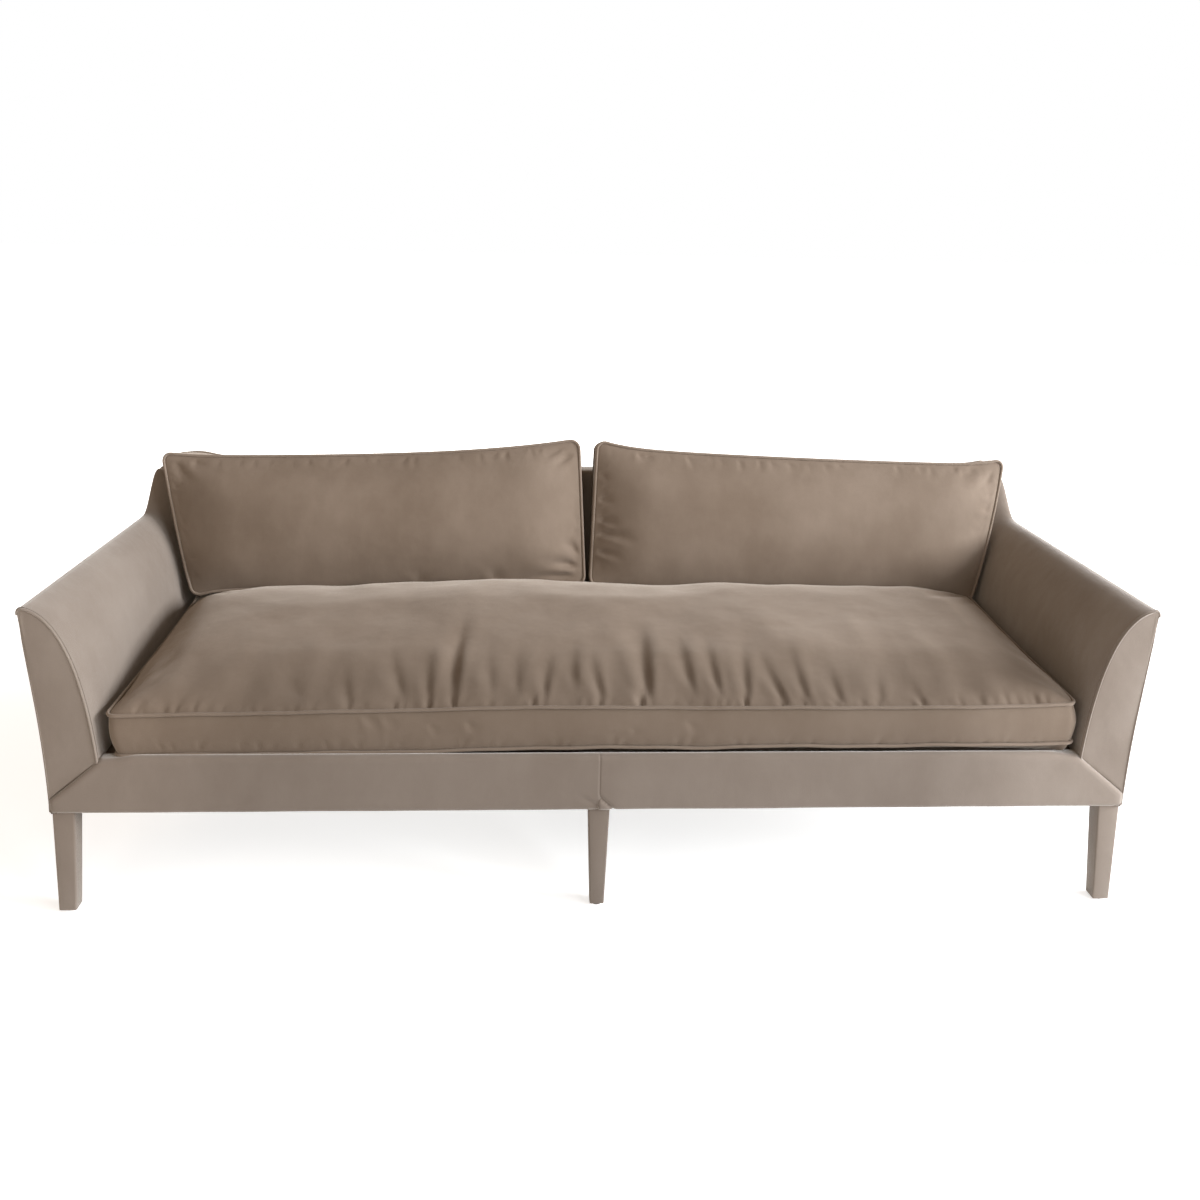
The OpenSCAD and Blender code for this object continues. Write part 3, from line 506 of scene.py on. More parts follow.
def outside_arm(side):
    """The pulled-over panel on the outside of an arm."""
    unevenly, puffed, under_edge, seam_dip = 0.0022, 0.001, 0.0012, 0.0016
    rows = [(0.007, -0.006), (0.001, -0.0030), (0.0004, -0.0015), (0.0016, -0.0004)]
    rows += [(y, 0.0) for y in shares(50, 0.006, sweep_start)]
    rows += [(y, 0.0) for y in shares(24, sweep_start, sweep_end)][1:]
    rows += [(y, 0.0) for y in shares(10, sweep_end, sofa_d - 0.0030)][1:]
    rows += [(sofa_d - short, drop) for short, drop in (
        (0.0016, -0.0004), (0.0006, -0.0014), (0.0003, -0.003), (0.004, -0.005))]

    def place(t, row):
        y, drop = row
        k, under = max(0.0, t), max(0.0, -t)
        x, z = off_section(y, k, -drop, outer_point)
        wave = ease(side * x, y, z, 0.20, unevenly) * math.sin(math.pi * k) ** 0.5
        x, z = off_section(y, k, -drop - wave - puffed * math.sin(math.pi * k), outer_point)
        x -= under * 0.35 + (under_edge if t <= 0 else 0.0)
        x -= seam_dip * rising(0.86, 0.97, t)
        swept = part_of(sweep_start, sofa_d, y) * (sofa_d - y_out(z))
        return side * x, front_y + y - swept, z + (0.0004 if t < 0 else 0.0)

    up = [-0.03, -0.012, -0.004, 0.0, 0.004, 0.015] + shares(40, 0.03, 1.0)
    padded_cover(f"{SIDE[side]}_outside_arm_cover", place, up, rows, 0.004, (side * 0.9, 0, 0.4),
                 f"{SIDE[side]}_outside_arm", velvet_outer_painted_shade)


def front_band(side):
    """Half of the covered band: turned under at its foot, rolled over the front edge of the seat."""
    top_r, set_back, belly, lift = 0.009, 0.0012, 0.0014, 0.0075
    path = [(0.014, leg_h + 0.0012), (0.006, leg_h + 0.0004), (0.0026, leg_h + 0.0006),
            (0.0010, leg_h + 0.0020)]
    path += [(0.0, z) for z in shares(20, leg_h + 0.005, band_z - top_r)]
    path += [(top_r * (1 - math.cos(a)), band_z - top_r + top_r * math.sin(a)) for a in quarter(6)]
    path += [(0.020, band_z), (0.034, band_z - 0.0004)]
    across = [0.0, 0.0006, 0.0018, 0.0035, 0.006] + shares(18, 0.008, 0.050) + shares(104, 0.060, 1.0)

    def tuck(x, high):
        """The slack that is folded under beside the centre seam, at the foot of the band."""
        if side > 0:
            off = (x - 0.002) * 0.676 + (high - 0.024) * 0.737
            flap = rising(0.0, 0.006, -off)
            return 0.0040 * math.exp(-(off / 0.0032) ** 2) - 0.0022 * flap
        off = (high - 0.006) * 0.88 - (x - 0.003) * 0.476
        run = part_of(0.003, 0.055, x)
        return 0.0032 * math.exp(-(off / 0.0065) ** 2) * (1 - smooth(run)) * min(1.0, x / 0.004)

    def place(share, point):
        depth, z = point
        run = part_of(band_z, leg_h + mitre_rise, z)
        end = mix(arm_in_x, half_w, run) - 0.0006 if depth < top_r * 0.9 else arm_in_x + 0.004
        x = end * share
        if depth <= top_r:
            depth += roll(x + 0.0002, 0.0030) + roll(end - x, 0.0035) * (1 if z > leg_h + 0.004 else 0.4)
            depth += set_back - belly * math.sin(math.pi * part_of(leg_h, band_z, z))
            depth += tuck(x, z - leg_h) + ease(side * x, 0, z, 0.13, 0.0016)
        rise = rising(leg_h + 0.04, band_z, z) * (1 - rising(0.90, 0.968, x))
        rise *= 1 - rising(top_r, 0.021, depth)
        return side * x, front_y + depth, z + lift * rise

    padded_cover(f"{SIDE[side]}_band_cover", place, across, path, 0.0035, (side * 0.5, 1.0, 0.27),
                 f"{SIDE[side]}_front_border")


def inside_back():
    """The padded inside of the back, rolled over the top and down its rear."""
    top_r, rear_r, beyond_arm, unevenly = back_edge_r, 0.007, 0.003, 0.0015
    centre_y, centre_z = y_in(back_h) + top_r, back_h - top_r
    turn = math.radians(90) - lean
    path = [(y_in(z), z, 0.0) for z in shares(20, 0.310, back_h - 2 * top_r)]
    path += [(centre_y - top_r * math.cos(a), centre_z + top_r * math.sin(a), 0.5)
             for a in [turn * i / 8 + lean * (1 - i / 8) for i in range(1, 9)]]
    path += [(y, back_h, 1.0) for y in shares(6, centre_y + 0.004, sofa_d - rear_r)]
    path += [(sofa_d - rear_r * (1 - math.sin(a)), back_h - rear_r * (1 - math.cos(a)), 1.0)
             for a in quarter(5)]
    path += [(y_out(z), z, 1.0) for z in shares(5, back_h - rear_r - 0.003, back_h - flap_h)]
    path += [(y_out(back_h - flap_h) - 0.003, back_h - flap_h - 0.0008, 1.0)]
    across = [-1 - 0.02 * i for i in range(8, 0, -1)] + shares(120, -1.0, 1.0)
    across += [1 + 0.02 * i for i in range(1, 9)]

    def place(s, point):
        y, z, over = point
        on_top = over > 0.4
        deep = min(max(y, sweep_end), sofa_d)
        reach = tip_x(deep) - lip_r
        if not on_top:
            reach = curve_x(inner_point, sweep_end, min(z, back_h - 0.0005)) + beyond_arm
        x = max(-1.0, min(1.0, s)) * reach
        beyond = (abs(s) - 1) / 0.16
        if beyond > 0:
            angle = beyond * math.radians(90)
            x += math.copysign(lip_r * math.sin(angle), s) * (1 if on_top else 0.3)
            hung = part_of(back_h - flap_h, back_h - rear_r, z) if on_top else 0
            z -= lip_r * (1 - math.cos(angle)) * hung
        if on_top and z < back_h - lip_r:
            x = math.copysign(min(abs(x), curve_x(outer_point, deep, z) - 0.0002), x)
        raised = ease(x, y, 0, 0.15, 0.0012) if on_top else 0
        return x, front_y + y + ease(x, y, z, 0.2, unevenly), z + raised

    padded_cover("inside_back_cover", place, across, path, 0.006, (0, 0.38, 0.5), "inside_back")


def outside_back():
    """The flat panel on the rear, with its edges turned in."""
    top, rounding, set_in = back_h - flap_h - 0.0015, 0.003, 0.0012
    up = [leg_h + 0.0003, leg_h + 0.0008, leg_h + 0.002, leg_h + 0.005]
    up += shares(26, leg_h + 0.012, top - 0.006) + [top - 0.003, top - 0.001, top]
    across = [-1, -0.9995, -0.998, -0.995] + shares(120, -0.99, 0.99) + [0.995, 0.998, 0.9995, 1]

    def place(s, z):
        reach = curve_x(outer_point, sofa_d, z) - 0.0045
        x = s * reach
        drop = max(roll(edge, rounding) for edge in (reach - abs(x), z - leg_h, top - z))
        return x, front_y + y_out(z) - set_in - drop + ease(x, 1.0, z, 0.25, 0.0020), z

    padded_cover("outside_back_cover", place, across, up, 0.0035, (0, 0, 0.4), "outside_back")


def seat_platform():
    """The platform cloth over the springs, which the seat cushion lies on."""
    start, top = 0.024, deck_z - 0.0008

    def place(a, b):
        y = mix(start, y_in(top) - 0.001, b)
        x = (arm_in_x + 0.002) * a
        sunk = 0.0015 + 0.005 * (1 - rising(start, 0.060, y))
        return x, front_y + y, top - sunk + ease(x, y, 0, 0.12, 0.0012)

    padded_cover("seat_platform", place, shares(90, -1.0, 1.0), shares(40), 0.010, (0, 0, 0.25),
                 "seat_deck", decking)


def under_cover():
    """The black cloth stapled under the base, cut out round the legs."""
    hole, end_gap, side_gap, below, sag, thick = 0.0222, 0.0084, 0.0094, 0.0008, 0.0012, 0.0005
    half_long, first, last = half_w - end_gap, side_gap, base_d - side_gap
    legs_x, legs_y = (-leg_x, 0, leg_x), (leg_y, base_d - leg_y)
    cuts_x = [x + d for x in legs_x for d in (-hole, hole) if abs(x + d) < half_long]
    cuts_y = [y + d for y in legs_y for d in (-hole, hole) if first < y + d < last]
    xs = sorted(set(cuts_x + shares(60, -half_long, half_long)))
    ys = sorted(set(cuts_y + shares(24, first, last)))
    points = [(x, front_y + y, leg_h - below) for y in ys for x in xs]
    faces = []
    for j in range(len(ys) - 1):
        for i in range(len(xs) - 1):
            x, y = (xs[i] + xs[i + 1]) / 2, (ys[j] + ys[j + 1]) / 2
            if not any(abs(x - c) < hole and abs(y - r) < hole for c in legs_x for r in legs_y):
                a = j * len(xs) + i
                faces.append((a, a + 1, a + len(xs) + 1, a + len(xs)))
    piece = new_piece("under_cover", points, faces)
    for vert in piece.data.vertices:
        inset = min(half_long - abs(vert.co.x), vert.co.y - front_y - first, last - vert.co.y + front_y)
        vert.co.z -= sag * min(1, inset / 0.08) * (1 + noise.noise(vert.co * 9))
    apply_modifier(piece, "SOLIDIFY", thickness=thick, offset=0.0)
    dress(piece, cambric, "frame", "dust_cover")


# Cushions

def soft_corner(u, v, half_long, half_short, radius):
    """Turns the square corners of a face into quarter circles."""
    cu, cv = 1 - radius / half_long, 1 - radius / half_short
    p, q = part_of(cu, 1, np.abs(u)), part_of(cv, 1, np.abs(v))
    inside = (p > 0) & (q > 0)
    new_u = np.where(inside, cu + (1 - cu) * p * np.sqrt(1 - q * q / 2), np.abs(u))
    new_v = np.where(inside, cv + (1 - cv) * q * np.sqrt(1 - p * p / 2), np.abs(v))
    return np.copysign(new_u, u), np.copysign(new_v, v)


def even_ends(count, end):
    """Shares from -1 to 1 that lie closer together towards both ends."""
    t = np.linspace(-1, 1, count)
    return (1 - end) * t + end * np.sin(t * math.pi / 2)


def finer(values):
    """The same places with one more between each two."""
    return np.sort(np.concatenate([values, (values[1:] + values[:-1]) / 2]))


def swell_in(distance, reach, power=2):
    """How a stuffed face rises from its seam: steeply at first, and level at a given reach."""
    return 1 - (1 - np.clip(distance / reach, 0, 1)) ** power


rest_y = back_y - back_t_cushion * math.cos(lean) - side_draw


def rest_z(y):
    return back_z + (back_y - y) * math.tan(lean)


def seat_plan(u, v, e, rear_z):
    """Where a point of the seat lies in plan, drawn in by e from its seams."""
    corner_r = 0.022
    u, v = soft_corner(u, v, seat_half, seat_half_d, corner_r)
    w = (v + 1) / 2
    x = u * (seat_half - e - side_draw * (1 - v * v))
    front = seat_setback + e + side_draw * (1 - u * u)
    return x, mix(front, y_in(rear_z) - seat_back_gap - e, w)


# How the back of the seat, and the cushions that stand on it, rise and fall along the sofa
rear_line = ([-0.968, -0.93, -0.69, -0.46, -0.215, 0.05, 0.314, 0.667, 0.843, 0.968],
             [-0.013, -0.013, -0.009, 0.0, 0.005, -0.004, -0.016, -0.027, -0.028, -0.025])


def rear_drift(x):
    return sum(np.interp(x + shift, *rear_line) for shift in (-0.08, -0.04, 0.0, 0.04, 0.08)) / 5


def seat_mid_z(y):
    """Height of the seat along its middle: crowned, raised at the back cushions and flat under them."""
    raised, raised_run, tuck_in = 0.005, 0.040, 0.004
    s = part_of(seat_setback + cover_in, rest_y, y)
    swell = s ** 0.40 * (1 - s ** 8) / 0.76
    nestle = raised * np.exp(-((y - rest_y + tuck_in) / raised_run) ** 2)
    free = mix(seat_front_z, rest_z(rest_y), s) + seat_crown * swell + nestle
    return np.where(y > rest_y + tuck_in, rest_z(y), free)


# How the front seams of the seat run up and down along the sofa
upper_seam = ([-0.968, -0.53, -0.08, 0.0, 0.32, 0.72, 0.90, 0.968],
              [-0.011, -0.005, 0.004, 0.002, 0.001, 0.002, 0.007, 0.010])
lower_seam = ([-0.968, -0.60, -0.30, -0.10, 0.0, 0.20, 0.31, 0.60, 0.968],
              [-0.007, -0.005, -0.002, 0.004, 0.0045, 0.002, 0.0055, 0.006, 0.011])


def seam_drift(x, seam, ripple):
    drift = sum(np.interp(x + shift, *seam) for shift in (-0.05, -0.025, 0.0, 0.025, 0.05)) / 5
    return drift + ripple * (np.sin(x * 21) * 0.6 + np.sin(x * 47 + 1.3) * 0.4)


def on_rim(u, v):
    return (np.abs(u) > 0.99999) | (np.abs(v) > 0.99999)


def seat_top(u, v, e):
    end_swell, right_out = 0.100, 0.003
    x, y = seat_plan(u, v, e, seat_rear_z)
    edge = mix(seat_front_z, seat_rear_z, (v + 1) / 2)
    full = swell_in((1 - np.abs(u)) * seat_half, end_swell, 3)
    settle = rear_drift(x) * rising(0.06, rest_y - 0.10, y)
    z = np.where(on_rim(u, v), edge, mix(edge, seat_mid_z(y) + settle, full))
    x = x + right_out * rising(0, 1, u)
    return np.stack([x, front_y + y, z + seam_drift(x, upper_seam, 0.0007)], -1)


def seat_foot(u, v, e):
    right_out, left_in = 0.004, 0.014
    x, y = seat_plan(u, v, e, seat_foot_z)
    z = np.where(on_rim(u, v), seat_foot_z + seam_drift(x, lower_seam, 0.0014), deck_z + 0.0010)
    x = x + right_out * rising(0, 1, u) + left_in * rising(-0.6, -1.0, u)
    return np.stack([x, front_y + y, z], -1)


def rim_places(us, vs):
    """The way round the rim of a face: its rows and columns, and its shares."""
    nu, nv = len(us), len(vs)
    rim = ([(i, 0) for i in range(nu)] + [(nu - 1, j) for j in range(1, nv)]
           + [(i, nv - 1) for i in range(nu - 2, -1, -1)] + [(0, j) for j in range(nv - 2, 0, -1)])
    return rim, np.array([us[i] for i, j in rim]), np.array([vs[j] for i, j in rim])


def boxed_cushion(name, top, foot, counts, inset):
    """A closed cushion: two faces laid out by their functions, and a boxing between their rims."""
    us, vs, nb = counts
    nu, nv = len(us), len(vs)
    u, v = np.meshgrid(us, vs)
    rim, ru, rv = rim_places(us, vs)
    points = [face(u, v, cover_in).reshape(-1, 3) for face in (top, foot)]
    for k in range(1, nb):
        e = inset(ru, rv, k / nb)
        points.append(mix(top(ru, rv, e), foot(ru, rv, e), k / nb))
    points = np.concatenate(points)
    n, m = len(rim), nu * nv

    def at(level, k):
        i, j = rim[k % n]
        if level in (0, nb):
            return j * nu + i + (m if level else 0)
        return 2 * m + (level - 1) * n + k % n

    starts = [j * nu + i for j in range(nv - 1) for i in range(nu - 1)]
    faces = [(a, a + 1, a + nu + 1, a + nu) for a in starts]
    faces += [(m + a, m + a + nu, m + a + nu + 1, m + a + 1) for a in starts]
    faces += [(at(level, k), at(level + 1, k), at(level + 1, k + 1), at(level, k + 1))
              for level in range(nb) for k in range(n)]
    piece = new_piece(name, points, faces)
    face_outwards(piece, merge=False)
    seam = piece.vertex_groups.new(name="seam")
    seam.add([at(level, k) for level in (0, nb) for k in range(n)], 1.0, "REPLACE")
    return piece, at, rim


def read_points(piece, what="co"):
    points = np.empty(len(piece.data.vertices) * 3)
    piece.data.vertices.foreach_get(what, points)
    return points.reshape(-1, 3)


def write_points(piece, points):
    piece.data.vertices.foreach_set("co", np.ascontiguousarray(points).ravel())
    piece.data.update()


def fill_cushion(piece, pressure, cap=0.018, frames=20):
    """Lets a cushion swell as cloth held at its seams, and caps how far any point may move."""
    start = read_points(piece)
    cloth = piece.modifiers.new("fill", "CLOTH")
    for key, value in {"quality": 4, "mass": 0.25, "tension_stiffness": 20, "compression_stiffness": 20,
                       "shear_stiffness": 8, "bending_stiffness": 0.6, "air_damping": 3, "use_pressure": True,
                       "uniform_pressure_force": pressure, "vertex_group_mass": "seam"}.items():
        setattr(cloth.settings, key, value)
    cloth.settings.effector_weights.gravity = 0
    cloth.collision_settings.use_collision = False
    cloth.point_cache.frame_start = 1
    cloth.point_cache.frame_end = frames
    scene = bpy.context.scene
    for number in range(1, frames + 1):
        scene.frame_set(number)
    select_only(piece)
    bpy.ops.object.modifier_apply(modifier=cloth.name)
    scene.frame_set(1)
    step = read_points(piece) - start
    size = np.linalg.norm(step, axis=1, keepdims=True)
    write_points(piece, start + step * np.minimum(1, cap / np.maximum(size, 1e-9)))


def crease(a, b, line):
    """The depth at (a, b) of one fold: it widens into the cloth, with a steep and a broad flank."""
    a0, b0, a1, b1, wide, deep = line
    length = math.hypot(a1 - a0, b1 - b0)
    da, db = (a1 - a0) / length, (b1 - b0) / length
    t = ((a - a0) * da + (b - b0) * db) / length
    run = np.clip(t, 0, 1)
    off = ((a - a0) * db - (b - b0) * da) / wide + 0.7 * np.sin(run * math.pi)
    off = off / (0.5 + 1.2 * run)
    rise = rising(-0.075, 0.225, t)
    valley = np.exp(-(off / np.where(off > 0, 0.85, 1.5)) ** 2)
    ridge = np.exp(-((off - 2.0) / 1.0) ** 2) + 0.6 * np.exp(-((off + 3.0) / 1.3) ** 2)
    return deep * rise * (1 - smooth(run)) * (valley - 0.3 * ridge)


def creases(a, b, lines):
    return sum(crease(a, b, line) for line in lines)


def small_puckers(seed, count, first, last, place):
    """Short seeded gathers along a seam: place(share) gives a start and the way into the cloth."""
    draw = np.random.default_rng(seed)
    lines = []
    for k in range(count):
        share = mix(first, last, (k + draw.uniform(0.1, 0.9)) / count)
        (a, b), (da, db) = place(share)
        long = draw.uniform(0.018, 0.050)
        turn = draw.uniform(-0.35, 0.35)
        lines.append((a, b, a + long * (da + turn * db), b + long * (db - turn * da),
                      draw.uniform(0.0050, 0.0080), draw.uniform(0.0008, 0.0026)))
    return lines


def unevenness(points, size, amount, shift):
    places = points / np.array(size) + (shift, 0, 0)
    return np.array([amount * noise.noise(Vector(place)) for place in places])


def cord_ring(name, ring, radius, sides=8):
    """A closed round cord through a ring of points."""
    n = len(ring)
    run = np.roll(ring, -1, 0) - np.roll(ring, 1, 0)
    run /= np.linalg.norm(run, axis=1, keepdims=True)
    up = np.cross(ring - ring.mean(0), run).sum(0)
    up /= np.linalg.norm(up)
    side = np.cross(run, up)
    side /= np.linalg.norm(side, axis=1, keepdims=True)
    above = np.cross(side, run)
    turns = [2 * math.pi * i / sides for i in range(sides)]
    verts = [ring[k] + radius * (math.cos(a) * side[k] + math.sin(a) * above[k])
             for k in range(n) for a in turns]
    faces = [(k * sides + i, k * sides + (i + 1) % sides, ((k + 1) % n) * sides + (i + 1) % sides,
              ((k + 1) % n) * sides + i) for k in range(n) for i in range(sides)]
    piece = new_piece(name, verts, faces)
    face_outwards(piece)
    return piece


def joined(name, parts):
    bpy.ops.object.select_all(action="DESELECT")
    for part in parts:
        part.select_set(True)
    bpy.context.view_layer.objects.active = parts[0]
    bpy.ops.object.join()
    parts[0].name = name
    return parts[0]


def welts(name, faces, counts, body, node):
    """The two welts of a cushion, each through the rim of one of its faces."""
    _, u, v = rim_places(finer(counts[0]), finer(counts[1]))
    rings = [cord_ring(f"{name}_{k}", face(u, v, welt_in), welt_r) for k, face in enumerate(faces)]
    dress(joined(name, rings), velvet_welt, body, node)


def filling(name, cover, body, node, gap):
    """The ticking bag of feathers inside a cover, a little smaller than the cover."""
    bag = cover.copy()
    bag.data = cover.data.copy()
    bag.name = name
    bpy.context.scene.collection.objects.link(bag)
    bag.vertex_groups.clear()
    write_points(bag, read_points(bag) - read_points(bag, "normal") * gap)
    dress(bag, ticking, body, node)


def cushion(name, body, node, faces, counts, inset, zip_row, clear, pressure, gap, folds):
    """A cushion: its cover filled, smoothed and folded, its bag of feathers and its two welts."""
    cover, at, rim = boxed_cushion(f"{name}_cover", *faces, counts, inset)
    still = [at(level, k) for level in range(1, counts[2]) for k, (i, j) in enumerate(rim)
             if j == zip_row and clear < i < len(counts[0]) - clear]
    cover.vertex_groups["seam"].add(still, 1.0, "REPLACE")
    fill_cushion(cover, pressure)
    filling(f"{name}_filling", cover, body, f"{node}_insert", gap)
    cover.vertex_groups.clear()
    apply_modifier(cover, "SUBSURF", levels=1, render_levels=1)
    points, normals = read_points(cover), read_points(cover, "normal")
    write_points(cover, points - normals * folds(points, normals)[:, None])
    dress(cover, velvet_cushion, body, f"{node}_cover")
    welts(f"{name}_welts", faces, counts, body, f"{node}_welts")


# How finely each face of a cushion is divided along and across, and its boxing in height
rest_share = 2 * (rest_y - seat_setback) / (y_in(seat_rear_z) - seat_setback - seat_back_gap) - 1
seat_rows = np.concatenate([even_ends(40, 0.5) * (rest_share + 1) / 2 + (rest_share - 1) / 2 - 0.012,
                            rest_share + np.array([0.010, 0.035, 0.07]),
                            np.linspace(rest_share + 0.12, 1.0, 10)])
seat_rows[0] = -1.0
seat_counts = (even_ends(220, 0.35), seat_rows, 8)
back_counts = (even_ends(130, 0.35), even_ends(44, 0.5), 12)


def seat_inset(u, v, t):
    """How far the seat's boxing stands in from its seams: it bellies out, and lies flat at the zip."""
    front, right_end, left_end, zip_dip = 0.006, 0.014, 0.001, 0.0022
    zip_side = (v > 0.999) * rising(0.92, 0.82, np.abs(u))
    along_end = rising(-1, -0.85, v) * (1 - rising(0.7, 0.95, v))
    belly = mix(front, np.where(u > 0.999, right_end, np.where(u < -0.999, left_end, front)), along_end)
    out = belly * math.sin(math.pi * t) * (1 - zip_side)
    return cover_in - out + zip_dip * zip_side * smooth(min(1, 4 * t * (1 - t)))


def seat_creases(points, normals):
    """How deep the seat's folds, tucks and puckers go at each point."""
    x, y, height = points[:, 0], points[:, 1] - front_y, points[:, 2] - seat_foot_z
    seam_z = np.interp(x, *upper_seam) + mix(seat_front_z, seat_rear_z, y / 0.8)
    upper = points[:, 2] > seam_z + 0.0005
    front = (normals[:, 1] < -0.5) & ~upper
    end = 0.93
    gathers = small_puckers(4, 64, -end, end, lambda x: ((x, seat_seam_y), (0.0, 1.0)))
    puckers = small_puckers(7, 46, -end, end, lambda x: ((x, 0.0), (0.5, 0.9)))
    slack = unevenness(points, 0.14, 0.0035, 3.0) + unevenness(points, 0.08, 0.0020, 5.0)
    slack += unevenness(points, (0.05, 0.17, 0.3), 0.0030, 8.0) * (1 - part_of(0.1, 0.5, y))
    deep = creases(x, y, seat_folds + seat_notches + gathers) * upper
    deep += creases(x, height * 1.1 - 0.004, box_folds + puckers) * front * 0.7
    return deep + slack * part_of(0, 0.04, height) * part_of(0, 0.03, y) * upper


def seat_cushion():
    cushion("seat", "seat_cushion", "seat_cushion", (seat_top, seat_foot), seat_counts, seat_inset,
            len(seat_rows) - 1, 8, 7.0, 0.016, seat_creases)


# Folds that run back from the front seam of the seat: start x, y, end x, y, width, depth
seat_folds = [
    (-0.340, 0.030, -0.346, 0.225, 0.011, 0.0050), (-0.293, 0.030, -0.275, 0.400, 0.014, 0.0085),
    (-0.217, 0.045, -0.222, 0.260, 0.015, 0.0040), (-0.165, 0.045, -0.158, 0.225, 0.013, 0.0035),
    (-0.111, 0.035, -0.090, 0.190, 0.010, 0.0050), (-0.051, 0.060, -0.038, 0.260, 0.013, 0.0040),
    (0.006, 0.032, -0.018, 0.200, 0.010, 0.0055), (0.098, 0.025, 0.112, 0.350, 0.014, 0.0090),
    (0.190, 0.050, 0.176, 0.290, 0.012, 0.0055), (0.243, 0.045, 0.234, 0.260, 0.010, 0.0055),
    (0.298, 0.030, 0.325, 0.260, 0.011, 0.0055), (0.378, 0.020, 0.333, 0.200, 0.009, 0.0055),
    (0.421, 0.018, 0.408, 0.250, 0.011, 0.0050), (-0.392, 0.045, -0.444, 0.240, 0.013, 0.0045),
    (-0.496, 0.030, -0.522, 0.170, 0.012, 0.0035), (-0.591, 0.045, -0.645, 0.160, 0.017, 0.0025),
    (0.490, 0.022, 0.480, 0.150, 0.010, 0.0040), (0.568, 0.020, 0.600, 0.160, 0.012, 0.0032),
    (0.657, 0.016, 0.640, 0.100, 0.009, 0.0030), (0.900, 0.012, 0.860, 0.060, 0.008, 0.0025)]
# Short sharp tucks right at that seam: start x, drift of x, length, width, depth
seat_seam_y = 0.012
seat_notches = [(x, seat_seam_y, x + aside, seat_seam_y + long, wide, deep)
                for x, aside, long, wide, deep in (
                    (-0.496, 0.004, 0.045, 0.006, 0.0030), (-0.403, -0.004, 0.040, 0.005, 0.0035),
                    (-0.386, -0.004, 0.034, 0.004, 0.0025), (-0.335, -0.005, 0.046, 0.0050, 0.0055),
                    (-0.287, -0.007, 0.050, 0.0055, 0.0060), (-0.214, 0.000, 0.030, 0.004, 0.0020),
                    (-0.130, 0.000, 0.050, 0.0060, 0.0075), (0.004, -0.005, 0.044, 0.0050, 0.0055),
                    (0.086, 0.000, 0.060, 0.0065, 0.0090), (0.178, 0.002, 0.030, 0.004, 0.0025),
                    (0.240, -0.003, 0.036, 0.004, 0.0030), (0.295, 0.000, 0.052, 0.0050, 0.0070),
                    (0.373, -0.012, 0.040, 0.0050, 0.0045), (0.415, -0.008, 0.044, 0.0055, 0.0055),
                    (0.483, -0.008, 0.038, 0.005, 0.0040), (0.535, -0.006, 0.036, 0.005, 0.0028),
                    (0.565, -0.002, 0.034, 0.005, 0.0030), (0.655, 0.002, 0.036, 0.005, 0.0034),
                    (0.709, -0.004, 0.034, 0.006, 0.0020), (-0.600, 0.010, 0.030, 0.006, 0.0016))]
# Small slanting puckers on the front boxing: start x and height over the lower seam, end x and height
box_folds = [(-0.47, 0.075, -0.43, 0.030, 0.008, 0.004), (-0.43, 0.070, -0.40, 0.035, 0.008, 0.003),
             (-0.27, 0.060, -0.24, 0.025, 0.008, 0.004), (-0.34, 0.055, -0.32, 0.020, 0.007, 0.003),
             (0.06, 0.050, 0.07, 0.015, 0.007, 0.002), (0.17, 0.060, 0.20, 0.020, 0.008, 0.003)]


def lean_point(side, x, s, n):
    """A point of a back cushion: x out from the middle, s up the back and n forward of it."""
    return np.stack([side * x, front_y + back_y + s * math.sin(lean) - n * math.cos(lean),
                     back_z + s * math.cos(lean) + n * math.sin(lean)], -1)


# Each back cushion: reach at foot and top, arch of its outer side, its two ears and its folds
back_shapes = {
    -1: {"reach": (0.968, 1.058), "arch": 0.003, "inner": (0.003, 0.019), "ear": 0.028, "ear_power": 5,
         "slope": 0.014, "outer_ear": 0.011, "rear_lift": 0.010, "folds": [
             (0.022, 0.022, 0.190, 0.010, 0.009, 0.011), (0.020, 0.050, 0.140, 0.046, 0.009, 0.011),
             (0.018, 0.080, 0.085, 0.115, 0.009, 0.009), (0.040, 0.010, 0.120, 0.006, 0.006, 0.006),
             (0.030, 0.330, 0.110, 0.275, 0.010, 0.007), (0.060, 0.345, 0.130, 0.300, 0.009, 0.006),
             (0.240, 0.004, 0.235, 0.060, 0.012, 0.004), (0.420, 0.004, 0.425, 0.050, 0.012, 0.003),
             (1.020, 0.300, 0.930, 0.235, 0.012, 0.006), (0.980, 0.320, 0.910, 0.275, 0.009, 0.004)]},
    1: {"reach": (0.974, 1.067), "arch": 0.008, "inner": (0.000, 0.015), "ear": 0.028, "ear_power": 16,
        "slope": 0.018, "outer_ear": 0.020, "rear_lift": 0.0, "folds": [
            (0.020, 0.130, 0.130, 0.112, 0.0075, 0.011), (0.018, 0.165, 0.085, 0.150, 0.0065, 0.009),
            (0.018, 0.215, 0.075, 0.204, 0.0065, 0.008), (0.018, 0.085, 0.095, 0.068, 0.007, 0.009),
            (0.018, 0.275, 0.055, 0.262, 0.007, 0.005), (1.035, 0.300, 0.950, 0.215, 0.012, 0.006),
            (0.990, 0.322, 0.915, 0.262, 0.010, 0.005), (0.945, 0.322, 0.880, 0.280, 0.009, 0.004),
            (1.045, 0.270, 0.985, 0.235, 0.009, 0.004), (0.120, 0.335, 0.150, 0.290, 0.010, 0.003)]}}


